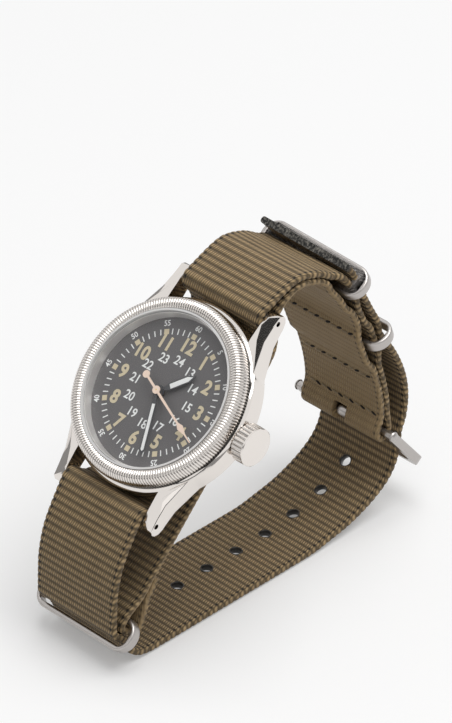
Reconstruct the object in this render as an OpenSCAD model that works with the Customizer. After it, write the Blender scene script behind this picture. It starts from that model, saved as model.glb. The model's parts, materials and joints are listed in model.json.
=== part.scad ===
// Pilot watch on a two-piece woven strap, lying on its buckled strap.
// X runs from 9 to 3 o'clock, Y along the strap on the ground, Z up, in millimetres.
// The origin is on the ground, at the middle of the strap's width.

/* [Head position] */
// Lean of the dial back from level, in degrees
head_tilt = 43.7; // [40:0.1:47]
// Dial centre along the strap on the ground
head_y = -5; // [-6:0.1:-4]
// Height of the dial centre above the ground
head_z = 42.2; // [41.5:0.1:43]

/* [Case] */
// Radius of the middle case
case_r = 16.75; // [16:0.05:17.5]
// Height from the dial down to the foot of the middle case
case_depth = 4.7; // [4.7:0.05:4.9]
// Thickness of the middle case from its side in to the bore that holds dial and movement
case_wall = 3.35; // [3.3:0.01:3.4]
// Bevel round the upper rim of the middle case
case_bevel = 0.4; // [0.2:0.05:0.6]
// Width of the shoulder round the flange that the bezel snaps over
shoulder_w = 1.5; // [1.45:0.05:1.6]
// Thickness of the case back's floor
back_floor = 1.2; // [1:0.05:1.4]
// Depth from the dial down to the outside of the case back
back_depth = 7.3; // [7.25:0.05:7.6]
// Step from the side of the case in to the case back's rim
back_step = 0.9; // [0.75:0.05:0.95]
// Width of the slope from the case back's rim in to its flat
back_slope_w = 3.15; // [2.9:0.05:3.3]

/* [Bezel and crystal] */
// Distance from the side of the case in to the middle of the bezel's round section
bezel_in = 2; // [1.9:0.05:2.05]
// Half width of the bezel's round section
bezel_half_w = 1.45; // [1.3:0.05:1.6]
// Height of the bezel's crown above the dial
bezel_top = 2.5; // [2.3:0.05:2.8]
// Distance from the middle of the bezel's section in to the crystal's wall
crystal_in = 0.9; // [0.88:0.01:1]
// Thickness of the crystal's wall
crystal_wall = 0.45; // [0.4:0.01:0.5]
// Thickness of the crystal's dome
crystal_t = 0.6; // [0.5:0.05:0.65]
// Height of the middle of the crystal above the dial
crystal_top = 3.6; // [3.4:0.05:4]
// Height of the crystal's shoulder above the dial
crystal_shoulder = 2.5; // [2.4:0.05:2.7]
// Height of the bright reflector ring
rehaut_h = 1.6; // [1.4:0.05:1.6]
// Width of the reflector ring at the dial
rehaut_w = 0.45; // [0.3:0.05:0.6]

/* [Lugs and spring bars] */
// Room between the strap and a lug on each side
lug_play = 0.2; // [0.15:0.05:0.3]
// Gap between the side of the case and the strap that passes inside the spring bars
wall_gap = 0.25; // [0.2:0.05:0.5]
// Depth of the spring bars below the dial
bar_drop = 2.4; // [2.3:0.05:2.6]
// Width of a lug at its tip
lug_tip_w = 2.1; // [1.9:0.05:2.6]
// Width of a lug at its root
lug_root_w = 3.7; // [3.3:0.1:4.2]
// Diameter of the spring bar's sleeve
bar_d = 1.5; // [1.4:0.05:1.6]
// Diameter of the sleeve's bore
bar_bore_d = 1.1; // [1.05:0.01:1.15]
// Diameter of the pins that enter the lugs
bar_pin_d = 0.8; // [0.7:0.02:0.85]
// Travel of a spring bar's pin
bar_travel = 0.9; // [0.6:0.05:1]

/* [Crown] */
// Depth of the stem's axis below the dial
stem_drop = 2.9; // [2.85:0.01:2.9]
// Radius of the crown
crown_r = 3.35; // [3.1:0.05:3.6]
// Length of the crown's fluted side
crown_len = 2.7; // [2.4:0.05:3]
// Number of flutes round the crown
crown_flutes = 26; // [20:1:32]
// Radius of the tube in the case wall
tube_r = 1.5; // [1.4:0.02:1.5]
// Radius of the winding stem
stem_r = 0.6; // [0.55:0.01:0.62]

/* [Dial and hands] */
// Thickness of the dial
dial_t = 0.4; // [0.3:0.02:0.5]
// Distance from the bore of the case in to the circle of hour squares
plot_in = 2.9; // [2.6:0.1:3.4]
// Side of an hour square
plot_w = 0.9; // [0.7:0.05:1.1]
// Gap from the tip of the second hand to the reflector ring
second_gap = 0.95; // [0.4:0.05:2]
// Length of the minute hand from centre to tip
minute_len = 10.9; // [10:0.1:11.5]
// Length of the hour hand from centre to tip
hour_len = 7; // [6:0.1:7.6]
// Angle of the second hand from 12, clockwise
second_angle = 113.4; // [0:0.1:360]
// Angle of the minute hand from 12, clockwise
minute_angle = 160; // [0:0.1:360]
// Angle of the hour hand from 12, clockwise
hour_angle = 43.8; // [0:0.1:360]
// Thickness of a hand
hand_t = 0.15; // [0.1:0.01:0.2]
// Height of the hour hand above the dial
hour_h = 0.62; // [0.55:0.01:0.66]
// Height of the minute hand above the dial
minute_h = 1.02; // [0.98:0.01:1.06]
// Height of the second hand above the dial
second_h = 1.42; // [1.38:0.01:1.5]

/* [Movement] */
// Width of the plastic ring that holds the movement
holder_w = 1.75; // [1.72:0.01:1.9]
// Depth of the main plate's upper face below the dial
plate_top = 1.5; // [1.48:0.01:1.55]
// Thickness of the main plate
plate_t = 0.6; // [0.55:0.01:0.64]
// Depth of the wheel bridge's upper face below the dial
bridge_top = 4.1; // [4.08:0.01:4.2]
// Thickness of the wheel bridge
bridge_t = 0.5; // [0.4:0.01:0.6]
// Distance from the centre to the third wheel
third_dist = 3.4; // [3.4:0.01:3.44]
// Distance from the centre to the fifth wheel
fifth_dist = 3.5; // [3.48:0.01:3.55]
// Distance from the fifth wheel to the rotor
rotor_dist = 2.52; // [2.5:0.01:2.6]
// Distance from the centre to the minute wheel under the dial
minute_wheel_dist = 2.4; // [2.38:0.01:2.46]
// Diameter of the button cell
cell_d = 6.8; // [6.6:0.05:7]
// Thickness of the button cell
cell_t = 2.1; // [1.8:0.05:2.2]

/* [Strap] */
// Width of the strap
strap_w = 18; // [17.6:0.1:18]
// Thickness of one layer of webbing
strap_t = 1.2; // [1.1:0.02:1.25]
// Diameter of the punched holes
hole_d = 2; // [1.8:0.05:2.2]
// Spacing of the punched holes
hole_pitch = 7; // [6.8:0.05:7.1]
// Number of free holes in the long strap
hole_count = 7; // [5:1:7]
// Gap between two layers that are sewn together
ply_gap = 0.1; // [0.05:0.01:0.15]
// Depth of the inner strap below the dial where it passes behind the case
short_depth = 11.7; // [11.6:0.1:12.2]

/* [Keepers and buckle] */
// Room between the strap's edge and the side of a keeper loop
keeper_room = 1; // [0.9:0.05:1.2]
// Distance between the two bars of a keeper loop
keeper_pitch = 4.8; // [4.7:0.05:5]
// Thickness of the keeper's band
keeper_t = 1; // [0.9:0.02:1.02]
// Width of the keeper's band
keeper_band = 2.1; // [1.9:0.05:2.2]
// Skew of the upper keeper on the strap, in degrees
upper_skew = 7; // [0:0.5:7]
// Skew of the lower keeper on the strap, in degrees
lower_skew = 2; // [0:0.5:3]
// Length of the buckle frame from its pivot to the far bar's middle
frame_len = 11.6; // [11.2:0.1:12]
// Width of the buckle's side bars, seen from the side
frame_h = 1.6; // [1.4:0.05:1.7]
// Thickness of the buckle's side bars across the strap
frame_t = 1.3; // [1.1:0.05:1.4]
// Radius of the buckle's pivot
pivot_r = 0.6; // [0.55:0.01:0.65]
// Diameter of the buckle's tongue
tongue_d = 1.1; // [1:0.05:1.2]

/* [Hidden] */
$fn = 64;
// Play between parts that slide or turn on each other
play = 0.05;
// Room above and below a keeper's bar inside a folded or sewn strap
bar_play = 0.4;
// A cut runs this far past the face it opens
past = 1;

// Radii that follow the side of the case inwards.
case_bore = case_r - case_wall;
spigot_r = case_r - shoulder_w;
back_r = case_r - back_step;
back_flat_r = back_r - back_slope_w;
bezel_mid_r = case_r - bezel_in;
crystal_r = bezel_mid_r - crystal_in;
rehaut_r = case_bore - rehaut_w;
plot_r = case_bore - plot_in;
second_len = rehaut_r - second_gap;
movement_r = case_bore - holder_w;

// The strap fills the space between case and spring bar, and sets the width of what holds it.
bar_reach = case_r + wall_gap + strap_t + 2 * play + bar_d / 2;
lug_gap = strap_w + 2 * lug_play;
lug_tip_x = lug_gap / 2 + lug_tip_w;
lug_root_x = lug_gap / 2 + lug_root_w;
keeper_w = strap_w + 2 * (keeper_room + keeper_t);

// Plane curves of the straps, as points [y, z] seen from the 3 o'clock side.
function unit(v) = v / norm(v);
function left_of(v) = [-v[1], v[0]];
function polar(c, r, a) = c + r * [cos(a), sin(a)];
function heading(p, i) = unit(p[min(i + 1, len(p) - 1)] - p[max(i - 1, 0)]);
function hermite(a, b, u, v, t) =
    let (d = norm(b - a))
    a * (2 * t^3 - 3 * t^2 + 1) + b * (3 * t^2 - 2 * t^3)
    + u * d * (t^3 - 2 * t^2 + t) + v * d * (t^3 - t^2);
function smooth(p, n) = [
    for (i = [0 : len(p) - 2]) for (k = [0 : n - 1])
        hermite(p[i], p[i + 1], heading(p, i), heading(p, i + 1), k / n),
    p[len(p) - 1]];
function runs(p) = [for (i = 0, s = 0; i < len(p);
    s = s + (i < len(p) - 1 ? norm(p[i + 1] - p[i]) : 0), i = i + 1) s];
function reversed(p) = [for (i = [len(p) - 1 : -1 : 0]) p[i]];
function ribbon(p, t) = concat(
    [for (i = [0 : len(p) - 1]) p[i] + left_of(heading(p, i)) * t / 2],
    [for (i = [len(p) - 1 : -1 : 0]) p[i] - left_of(heading(p, i)) * t / 2]);
function ease(t) = let (u = min(max(t, 0), 1)) u * u * (3 - 2 * u);

// Head frame: a point of the dial's own plane [up to 12, out of the dial] on the ground plane.
function head_point(up, out) = [
    head_y + up * cos(head_tilt) - out * sin(head_tilt),
    head_z + up * sin(head_tilt) + out * cos(head_tilt)];
bar_upper = head_point(bar_reach, -bar_drop);
bar_lower = head_point(-bar_reach, -bar_drop);
wrap_r = bar_d / 2 + 2 * play + strap_t / 2;

// The seam is the surface between the two sewn layers, from the buckle up to the top.
function from(origin, points) = [for (p = points) origin + p];
seam_points = concat([[39.6, 17.1], [39.8, 20.4], [39.4, 24], [38.4, 28], [36.9, 32.4], [35.2, 36.6],
    [33.4, 41.4], [31.4, 45.8], [28.9, 50.1]],
    from(bar_upper, [[15.47, -0.13], [12.27, 2.07], [9.17, 3.17]]));
seam_top = seam_points[9];
seam_steps = 4;
seam = smooth(seam_points, seam_steps);
seam_run = runs(seam);
middle_at = 5 * seam_steps;
upper_at = 8 * seam_steps;
pocket_rise = keeper_t / 2 + bar_play - ply_gap / 2;
pocket_flat = 2.8;
pocket_end = 6;
pivot = seam_points[0];
fold_r = pivot_r + 3 * play + strap_t / 2;
function pocket(i, k) = pocket_rise
    * ease((pocket_end - abs(seam_run[i] - seam_run[k])) / (pocket_end - pocket_flat));
function spread(i) = strap_t / 2 + ply_gap / 2 + pocket(i, middle_at) + pocket(i, upper_at)
    + (fold_r - strap_t / 2 - ply_gap / 2) * ease((4 - seam_run[i]) / 4);
function seam_side(i, side) = seam[i] - left_of(heading(seam, i)) * side * spread(i);

// Strap behind the case: the long strap lies on the case back, the short one below it.
wall_up = bar_reach - wrap_r;
long_depth = back_depth + 2 * play + strap_t / 2;
corner_r = 4.9;
function corner_upper(a) = polar(head_point(wall_up - corner_r, -long_depth + corner_r),
    corner_r, a + head_tilt);
function corner_lower(a) = polar(head_point(corner_r - wall_up, -long_depth + corner_r),
    corner_r, a + head_tilt);

// Keeper loops: centre, direction from inner bar to outer bar, and the skew on the strap.
function seam_out(i) = -left_of(heading(seam, i));
middle_centre = seam[middle_at] + seam_out(middle_at) * keeper_pitch / 2;
upper_centre = seam[upper_at] + seam_out(upper_at) * keeper_pitch / 2;
lower_out = [cos(225), sin(225)];
lower_bar = [-19.8, 7.9];
lower_centre = lower_bar + lower_out * keeper_pitch / 2;
slot_gap = 0.8;
lower_slot = lower_bar + lower_out * (keeper_pitch - keeper_t / 2 - slot_gap - strap_t / 2);
function tail_at(i) = seam[i] + seam_out(i) * (spread(i) + strap_t + 0.3);

// The buckle's side bars run down to the far bar, and the tongue lies on that bar.
frame_angle = -50.3;
tongue_lift = frame_h / 2 + tongue_d / 2 + play;
tongue_angle = frame_angle + asin(tongue_lift / (frame_len - frame_h / 2));
tongue_dir = [cos(tongue_angle), sin(tongue_angle)];
tongue_mid = 5.45;
tail_cross = pivot + tongue_dir * tongue_mid;

// Long strap: folded round the buckle's pivot, over the top, round both spring bars,
// through the lower keeper, along the ground, through the buckle and up to the tip.
fold_leg = [for (i = [3 * seam_steps : -1 : 1]) seam_side(i, -1)];
fold_turn = [for (a = [180 : 30 : 360]) polar(pivot, fold_r, a)];
sewn_leg = [for (i = [1 : len(seam) - 2]) seam_side(i, 1)];
over_top = from(bar_upper, [[7.17, 4.07], [4.57, 3.47]]);
wrap_upper = [for (a = [75 : 25 : 175]) polar(bar_upper, wrap_r, a + head_tilt)];
behind_case = concat([for (a = [0 : -22.5 : -90]) corner_upper(a)],
    [for (a = [-90 : -22.5 : -180]) corner_lower(a)]);
wrap_lower = [for (a = [5 : 25 : 105]) polar(bar_lower, wrap_r, a + head_tilt)];
bulge = concat(from(bar_lower, [[-4.19, -4.2], [-5.39, -6.7], [-6.19, -9.4]]),
    from(lower_bar, [[-4, 7.1], [-4.1, 4.6], [-4.15, 1.9], [-3.95, -0.3]]));
to_ground = [lower_slot, [-20.35, 3], [-18.3, 1.3], [-15.8, 0.55 + strap_t / 10]];
flat_start = [-13.4, strap_t / 2];
flat_end = [20, strap_t / 2];
to_buckle = [[23.5, 0.75], [27.2, 1.35], [31, 2.05], [34.8, 3.25], [38.3, 4.9], [41, 6.9],
    [42.6, 9.2], [43.25, 11.3]];
tail = [tail_cross, [43.7, 15.1], [44.6, 17.6], [45, 20.4], [44.9, 23], [44.4, 25.6],
    [43.5, 28.2], [42.3, 30.8], [40.8, 33.4], tail_at(middle_at),
    [37.3, 40.3], [35.6, 43.4], [33.7, 47], tail_at(upper_at), seam_top + [4, 0.6],
    seam_top + [2.4, 2.5]];
long_steps = 3;
before_flat = concat(fold_leg, fold_turn, sewn_leg,
    smooth(concat([seam_side(len(seam) - 1, 1)], over_top, wrap_upper, behind_case, wrap_lower,
        bulge, to_ground, [flat_start, flat_end]), long_steps));
after_flat = smooth(concat([flat_start, flat_end], to_buckle, tail), long_steps);
long_path = concat(
    [for (i = [0 : len(before_flat) - 1 - long_steps]) before_flat[i]],
    [for (i = [long_steps : len(after_flat) - 1]) after_flat[i]]);

// Short strap: the inner sewn layer, behind the case, and folded round the lower keeper.
short_start = 3 * seam_steps + 1;
short_leg = [for (i = [short_start : len(seam) - 2]) seam_side(i, -1)];
short_turn = from(bar_upper, [[6.77, 2.42], [4.57, 1.47], [3.07, 0.27], [2.07, -1.03]]);
follow_r = corner_r + strap_t + 0.2;
short_corner = [for (a = [-26 : -16 : -74])
    polar(head_point(wall_up - corner_r, -long_depth + corner_r), follow_r, a + head_tilt)];
behind = [for (p = [[7, 1.65], [0, 1.05], [-7, 0.35], [-13, 0]]) head_point(p[0], p[1] - short_depth)];
short_axis = unit([-0.6, -0.8]);
fold_long = keeper_t / 2 + bar_play + strap_t / 2;
fold_wide = keeper_band / 2 + strap_w / 2 * sin(lower_skew) + 0.24 + strap_t / 2;
fold_corner = 0.9;
fold_back = 8.4;
ply = strap_t / 2 + ply_gap / 2;
function by_keeper(back, side) = lower_bar - short_axis * back + left_of(short_axis) * side;
keeper_half = concat([[fold_back, ply], [6.2, ply + 0.04], [4.4, ply + 0.3], [1, fold_wide - 0.1]],
    [for (a = [0 : 30 : 90])
        polar([fold_corner - fold_long, fold_wide - fold_corner], fold_corner, 90 + a)]);
keeper_loop = concat([for (p = keeper_half) by_keeper(p[0], -p[1])],
    [for (p = reversed(keeper_half)) by_keeper(p[0], p[1])]);
short_path = concat(short_leg, smooth(concat([seam_side(len(seam) - 1, -1)], short_turn,
    short_corner, behind, keeper_loop), 3));

module head() translate([0, head_y, head_z]) rotate([head_tilt, 0, 0]) children();
module side_view(w) rotate([90, 0, 90]) linear_extrude(height = w, center = true) children();
module tube(r_out, r_in, z0, z1)
    translate([0, 0, z0]) difference() {
        cylinder(h = z1 - z0, r = r_out);
        translate([0, 0, -past]) cylinder(h = z1 - z0 + 2 * past, r = r_in);
    }
module disc(r, z0, z1) translate([0, 0, z0]) cylinder(h = z1 - z0, r = r);

// Case pieces, in the head frame with the dial's face at zero height.
shoulder_z = -0.4;
spigot_top = 0.3;
groove_w = 0.45;
flange_r = spigot_r - 0.95;
lip_r = crystal_r + play;
back_spigot_r = back_r - 1.1;
back_spigot_h = 0.8;
back_cavity_r = back_spigot_r - 1.25;
gasket_w = 0.6;
gasket_h = 0.2;
gasket_r = back_spigot_r + 0.35;

module case_ring() rotate_extrude() polygon([
    [case_bore, spigot_top], [flange_r - groove_w, spigot_top],
    [flange_r - groove_w, spigot_top - groove_w], [flange_r, spigot_top - groove_w],
    [flange_r, spigot_top], [spigot_r, spigot_top], [spigot_r, shoulder_z],
    [case_r - case_bevel, shoulder_z], [case_r, shoulder_z - case_bevel],
    [case_r, -case_depth + case_bevel], [case_r - case_bevel, -case_depth],
    [gasket_r + gasket_w, -case_depth], [gasket_r + gasket_w, -case_depth + gasket_h],
    [gasket_r, -case_depth + gasket_h], [gasket_r, -case_depth],
    [back_spigot_r + play, -case_depth], [back_spigot_r + play, -case_depth + back_spigot_h + play],
    [case_bore, -case_depth + back_spigot_h + play]]);

// A lug is its side outline cut by its outline from above, both drawn from its spring bar.
lug_side = [[-9.05, 1.8], [-4.05, 1.68], [-1.45, 1.45], [0.15, 1.05], [1.15, 0.45], [1.6, -0.3],
    [1.45, -1], [0.85, -1.6], [-0.15, -1.9], [-4.05, -1.95], [-9.05, -2]];
lug_above = [[lug_gap / 2, -9.05], [lug_root_x + 0.6, -9.65], [lug_root_x - 0.4, -6.55],
    [lug_tip_x + 0.25, -3.65], [lug_tip_x, -1.05], [lug_tip_x - 0.1, 1.95], [lug_gap / 2, 1.95]];
module lug() intersection() {
    side_view(4 * lug_root_x) polygon(from([bar_reach, -bar_drop], lug_side));
    translate([0, 0, -case_depth - past]) linear_extrude(height = case_depth + 2 * past)
        polygon(from([0, bar_reach], lug_above));
}
module lugs() for (sx = [0, 1]) for (sy = [0, 1])
    mirror([sx, 0, 0]) mirror([0, sy, 0]) lug();

module mid_case() color("gainsboro") head() difference() {
    union() {
        case_ring();
        difference() {
            lugs();
            disc(case_r - 1, -10, 10);
        }
    }
    translate([case_bore - past, 0, -stem_drop]) rotate([0, 90, 0])
        cylinder(h = case_r, r = tube_r);
    for (sy = [-1, 1]) translate([0, sy * bar_reach, -bar_drop]) rotate([0, 90, 0])
        cylinder(h = 4 * lug_tip_x, r = bar_pin_d / 2 + play, center = true);
}

bezel_mid_z = 0.45;
bezel_foot = shoulder_z + play;
function bezel_arc(a) = [bezel_mid_r + bezel_half_w * cos(a),
    bezel_mid_z + (bezel_top - bezel_mid_z) * sin(a)];
foot_angle = -asin((bezel_mid_z - bezel_foot) / (bezel_top - bezel_mid_z));
lip_angle = acos((lip_r - bezel_mid_r) / bezel_half_w);
flange_top = 1;
module bezel() color("silver") head() rotate_extrude() polygon(concat(
    [for (i = [0 : 24]) bezel_arc(foot_angle + (lip_angle - foot_angle) * i / 24)],
    [[lip_r, flange_top + play], [flange_r + play, flange_top + play],
        [flange_r + play, spigot_top + play], [spigot_r + play, spigot_top + play],
        [spigot_r + play, bezel_foot]]));

dome_sag = crystal_top - crystal_shoulder;
dome_r = (pow(crystal_r - 0.3, 2) + dome_sag * dome_sag) / (2 * dome_sag);
function dome_z(r, r0, top) = top - r0 + sqrt(r0 * r0 - r * r);
module crystal() color([0.85, 0.92, 0.95, 0.35]) head() rotate_extrude() polygon(concat(
    [[flange_r, spigot_top + play], [flange_r, flange_top], [crystal_r, flange_top],
        [crystal_r, crystal_shoulder - 0.25]],
    [for (i = [0 : 12]) let (r = (crystal_r - 0.3) * (1 - i / 12))
        [r, dome_z(r, dome_r, crystal_top)]],
    [for (i = [0 : 12]) let (r = (crystal_r - crystal_wall - 0.3) * i / 12)
        [r, dome_z(r, dome_r - crystal_t, crystal_top - crystal_t)]],
    [[crystal_r - crystal_wall, crystal_shoulder - crystal_t - 0.1],
        [crystal_r - crystal_wall, spigot_top + play]]));

module crystal_seal() color("dimgray") head()
    tube(flange_r, flange_r - groove_w, spigot_top - groove_w, spigot_top + play);

module rehaut_ring() color("whitesmoke") head() rotate_extrude() polygon([
    [rehaut_r, 0], [case_bore - play, 0], [case_bore - play, rehaut_h],
    [case_bore - 0.15, rehaut_h], [rehaut_r, 0.1]]);

module case_back() color("silver") head() rotate_extrude() polygon([
    [0, -back_depth], [back_flat_r, -back_depth], [back_r - 0.3, -case_depth - 1.1],
    [back_r, -case_depth - 0.8], [back_r, -case_depth], [back_spigot_r, -case_depth],
    [back_spigot_r, -case_depth + back_spigot_h], [back_cavity_r, -case_depth + back_spigot_h],
    [back_cavity_r, -case_depth - 0.6], [back_flat_r - 0.5, -back_depth + back_floor],
    [0, -back_depth + back_floor]]);

module case_back_gasket() color("black") head()
    tube(gasket_r + gasket_w, gasket_r, -case_depth, -case_depth + gasket_h);

tube_end = case_r + 1.7;
module crown_tube() color("silver") head() translate([0, 0, -stem_drop]) rotate([0, 90, 0])
    tube(tube_r, stem_r + play, back_spigot_r + 2 * play, tube_end);

// Movement, held by a plastic ring between the dial and the case back.
holder_r = case_bore - play;
holder_foot = back_depth - back_floor - 0.1;
clamp_t = 0.25;
holder_step = bridge_top + bridge_t + clamp_t + 0.15;
module movement_ring() color("ivory") head() difference() {
    union() {
        tube(holder_r - 0.6, movement_r + play, -holder_step - 0.2, -dial_t);
        tube(holder_r, movement_r + play, -case_depth + back_spigot_h + play, -dial_t);
        tube(movement_r + 0.2, movement_r - 0.7, -holder_foot, -holder_step);
    }
    translate([0, 0, -stem_drop]) rotate([0, 90, 0])
        cylinder(h = case_r, r = stem_r + 2 * play);
}

hour_tube_r = 0.75;
module dial_plate() color([0.36, 0.35, 0.36]) head()
    tube(case_bore - 2 * play, hour_tube_r + 2 * play, -dial_t, 0);
plot_t = 0.06;
module hour_plots() color([0.79, 0.72, 0.58]) head() for (i = [0 : 11])
    rotate([0, 0, -30 * i]) translate([-plot_w / 2, plot_r - plot_w / 2, 0])
        cube([plot_w, plot_w, plot_t]);

// Gears have slim teeth, so that a pair in mesh never touches.
module gear(teeth, mod, z0, z1, phase = 0) {
    r = teeth * mod / 2;
    root = r - 1.05 * mod;
    tip = r + 0.5 * mod;
    pitch = 360 / teeth;
    translate([0, 0, z0]) rotate([0, 0, phase]) linear_extrude(height = z1 - z0)
        polygon([for (i = [0 : teeth - 1]) each [
            [root * cos(pitch * (i - 0.22)), root * sin(pitch * (i - 0.22))],
            [tip * cos(pitch * (i - 0.09)), tip * sin(pitch * (i - 0.09))],
            [tip * cos(pitch * (i + 0.09)), tip * sin(pitch * (i + 0.09))],
            [root * cos(pitch * (i + 0.22)), root * sin(pitch * (i + 0.22))]]]);
}

// Wheel train: teeth of each wheel and of the pinion that meets it, and where they turn.
rotor_leaves = 12;
fifth_teeth = 60;
fifth_leaves = 10;
seconds_teeth = 60;
seconds_leaves = 8;
third_teeth = 60;
third_leaves = 8;
centre_teeth = 64;
cannon_leaves = 12;
minute_wheel_teeth = 36;
minute_wheel_leaves = 10;
hour_teeth = 40;
third_dir = 60;
fifth_dir = 235;
rotor_dir = 250;
minute_wheel_dir = 30;
third_at = third_dist * [cos(third_dir), sin(third_dir)];
fifth_at = fifth_dist * [cos(fifth_dir), sin(fifth_dir)];
rotor_at = fifth_at + rotor_dist * [cos(rotor_dir), sin(rotor_dir)];
minute_wheel_at = minute_wheel_dist * [cos(minute_wheel_dir), sin(minute_wheel_dir)];
function mod_of(dist, a, b) = 2 * dist / (a + b);
plate_foot = -plate_top - plate_t;
arbor_r = 0.12;
arbor_top = -plate_top - 0.1;
arbor_foot = -bridge_top - bridge_t + 0.1;
hole_r = arbor_r + 0.04;
seconds_r = 0.15;
minute_tube_in = seconds_r + 0.05;
minute_tube_r = 0.42;

cell_dir = 143.4;
cell_at = (movement_r - cell_d / 2 - 0.53) * [cos(cell_dir), sin(cell_dir)];
module plate_cuts(z, h) {
    translate([cell_at[0], cell_at[1], z]) cylinder(h = h, r = cell_d / 2 + 0.15);
    for (p = [third_at, fifth_at, rotor_at]) translate([p[0], p[1], z]) cylinder(h = h, r = hole_r);
}
screw_at = [for (a = [30, 95, 200, 325]) (movement_r - 1.75) * [cos(a), sin(a)]];
screw_r = 0.35;
screw_head = 0.3;
screw_slot = 0.12;
boss_r = 0.9;
module main_plate() color("goldenrod") head() difference() {
    union() {
        disc(movement_r, plate_foot, -plate_top);
        for (p = screw_at) translate([p[0], p[1], 0]) disc(boss_r, -bridge_top, plate_foot);
        translate([minute_wheel_at[0], minute_wheel_at[1], 0])
            disc(arbor_r, -plate_top, -dial_t - 0.1);
    }
    plate_cuts(plate_foot - past, plate_t + 2 * past);
    disc(minute_tube_r + play, plate_foot - past, -plate_top + past);
    for (p = screw_at) translate([p[0], p[1], 0]) disc(screw_r, -bridge_top - past, -plate_top + past);
}
module wheel_bridge() color("silver") head() difference() {
    disc(movement_r, -bridge_top - bridge_t, -bridge_top);
    plate_cuts(-bridge_top - bridge_t - past, bridge_t + 2 * past);
    disc(seconds_r + 0.04, -bridge_top - bridge_t - past, -bridge_top + past);
    for (p = screw_at) translate([p[0], p[1], 0])
        disc(screw_r, -bridge_top - bridge_t - past, -bridge_top + past);
}
module movement_screws() color("steelblue") head() for (p = screw_at)
    translate([p[0], p[1], 0]) difference() {
        union() {
            disc(screw_r, -bridge_top - bridge_t, -plate_top - 0.05);
            disc(2 * screw_r, -bridge_top - bridge_t - screw_head, -bridge_top - bridge_t);
        }
        translate([-past, -screw_slot / 2, -bridge_top - bridge_t - screw_head - past])
            cube([2 * past, screw_slot, past + screw_slot]);
    }

board_t = 0.3;
board_z = -bridge_top + 0.1;
board_corner = [2.5, 2.65 - movement_r];
board_size = [movement_r - 2.65, 6.2];
module circuit_board() color("darkgreen") head() difference() {
    intersection() {
        disc(movement_r - 0.4, board_z, board_z + board_t);
        translate([board_corner[0], board_corner[1], board_z])
            cube([board_size[0], board_size[1], board_t]);
    }
    for (p = screw_at) translate([p[0], p[1], 0]) disc(boss_r + 0.15, board_z - past, board_z + past);
}
coil_at = [1.6, 3.45 - movement_r, -bridge_top + 1.1];
coil_len = 5.2;
coil_r = 0.62;
module drive_coil() color([0.72, 0.4, 0.2]) head() translate(coil_at) rotate([0, 90, 0])
    tube(coil_r, 0.25, 0, coil_len);
magnet_r = 0.7;
stator_z = -bridge_top + 0.95;
stator_t = 0.3;
stator_w = 1.5;
module stator() color("slategray") head() difference() {
    union() {
        translate([rotor_at[0], rotor_at[1], stator_z]) cylinder(h = stator_t, r = stator_w);
        translate([rotor_at[0] - stator_w / 2, coil_at[1] - stator_w / 2, stator_z]) {
            cube([coil_at[0] - rotor_at[0] + stator_w / 2 - play, stator_w, stator_t]);
            cube([stator_w, max(rotor_at[1] - coil_at[1], stator_w), stator_t]);
        }
    }
    translate([rotor_at[0], rotor_at[1], stator_z - past])
        cylinder(h = stator_t + 2 * past, r = magnet_r + 0.2);
}
cell_z = -bridge_top - bridge_t + 0.05;
module battery_cell() color("lightsteelblue") head()
    translate([cell_at[0], cell_at[1], 0]) disc(cell_d / 2, cell_z, cell_z + cell_t);
clamp_z = -bridge_top - bridge_t;
clamp_arm = [8, 2];
module battery_clamp() color("gainsboro") head() difference() {
    union() {
        translate([cell_at[0], cell_at[1], 0]) disc(cell_d / 2 + 0.3, clamp_z - clamp_t, clamp_z);
        translate([cell_at[0] - 1.4, cell_at[1] - clamp_arm[1] / 2, clamp_z - clamp_t])
            cube([clamp_arm[0], clamp_arm[1], clamp_t]);
    }
    for (p = screw_at) translate([p[0], p[1], 0]) disc(2 * screw_r + 0.1, clamp_z - past, clamp_z + past);
    translate([cell_at[0], cell_at[1], 0]) disc(cell_d / 2 - 1.2, clamp_z - past, clamp_z + past);
}

// Each wheel is drawn on its own axis and put in place.
module at(p) translate([p[0], p[1], 0]) children();
function facing(dir, teeth) = dir + 180 + 180 / teeth;

seconds_z = -bridge_top + 0.65;
fifth_z = -bridge_top + 0.25;
third_z = plate_foot - 0.95;
centre_z = plate_foot - 0.4;
wheel_t = 0.18;
leaf_over = 0.06;
module seconds_wheel() color("gold") head() {
    gear(seconds_teeth, mod_of(fifth_dist, seconds_teeth, fifth_leaves), seconds_z,
        seconds_z + wheel_t, fifth_dir);
    gear(seconds_leaves, mod_of(third_dist, third_teeth, seconds_leaves),
        seconds_z + wheel_t, third_z + wheel_t + leaf_over, third_dir);
    disc(seconds_r, arbor_foot, second_h + hand_t);
}
module centre_wheel() color("gold") head() {
    difference() {
        union() {
            gear(centre_teeth, mod_of(third_dist, centre_teeth, third_leaves), centre_z,
                centre_z + wheel_t, third_dir);
            disc(minute_tube_r, centre_z, minute_h + hand_t);
            gear(cannon_leaves, mod_of(minute_wheel_dist, minute_wheel_teeth, cannon_leaves),
                -plate_top + 0.05, -plate_top + 0.4, minute_wheel_dir);
        }
        disc(minute_tube_in, centre_z - past, minute_h + past);
    }
}
module third_wheel() color("gold") head() at(third_at) {
    gear(third_teeth, mod_of(third_dist, third_teeth, seconds_leaves), third_z,
        third_z + wheel_t, facing(third_dir, third_teeth));
    gear(third_leaves, mod_of(third_dist, centre_teeth, third_leaves), third_z + wheel_t,
        centre_z + wheel_t + leaf_over, facing(third_dir, third_leaves));
    disc(arbor_r, arbor_foot, arbor_top);
}
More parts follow.
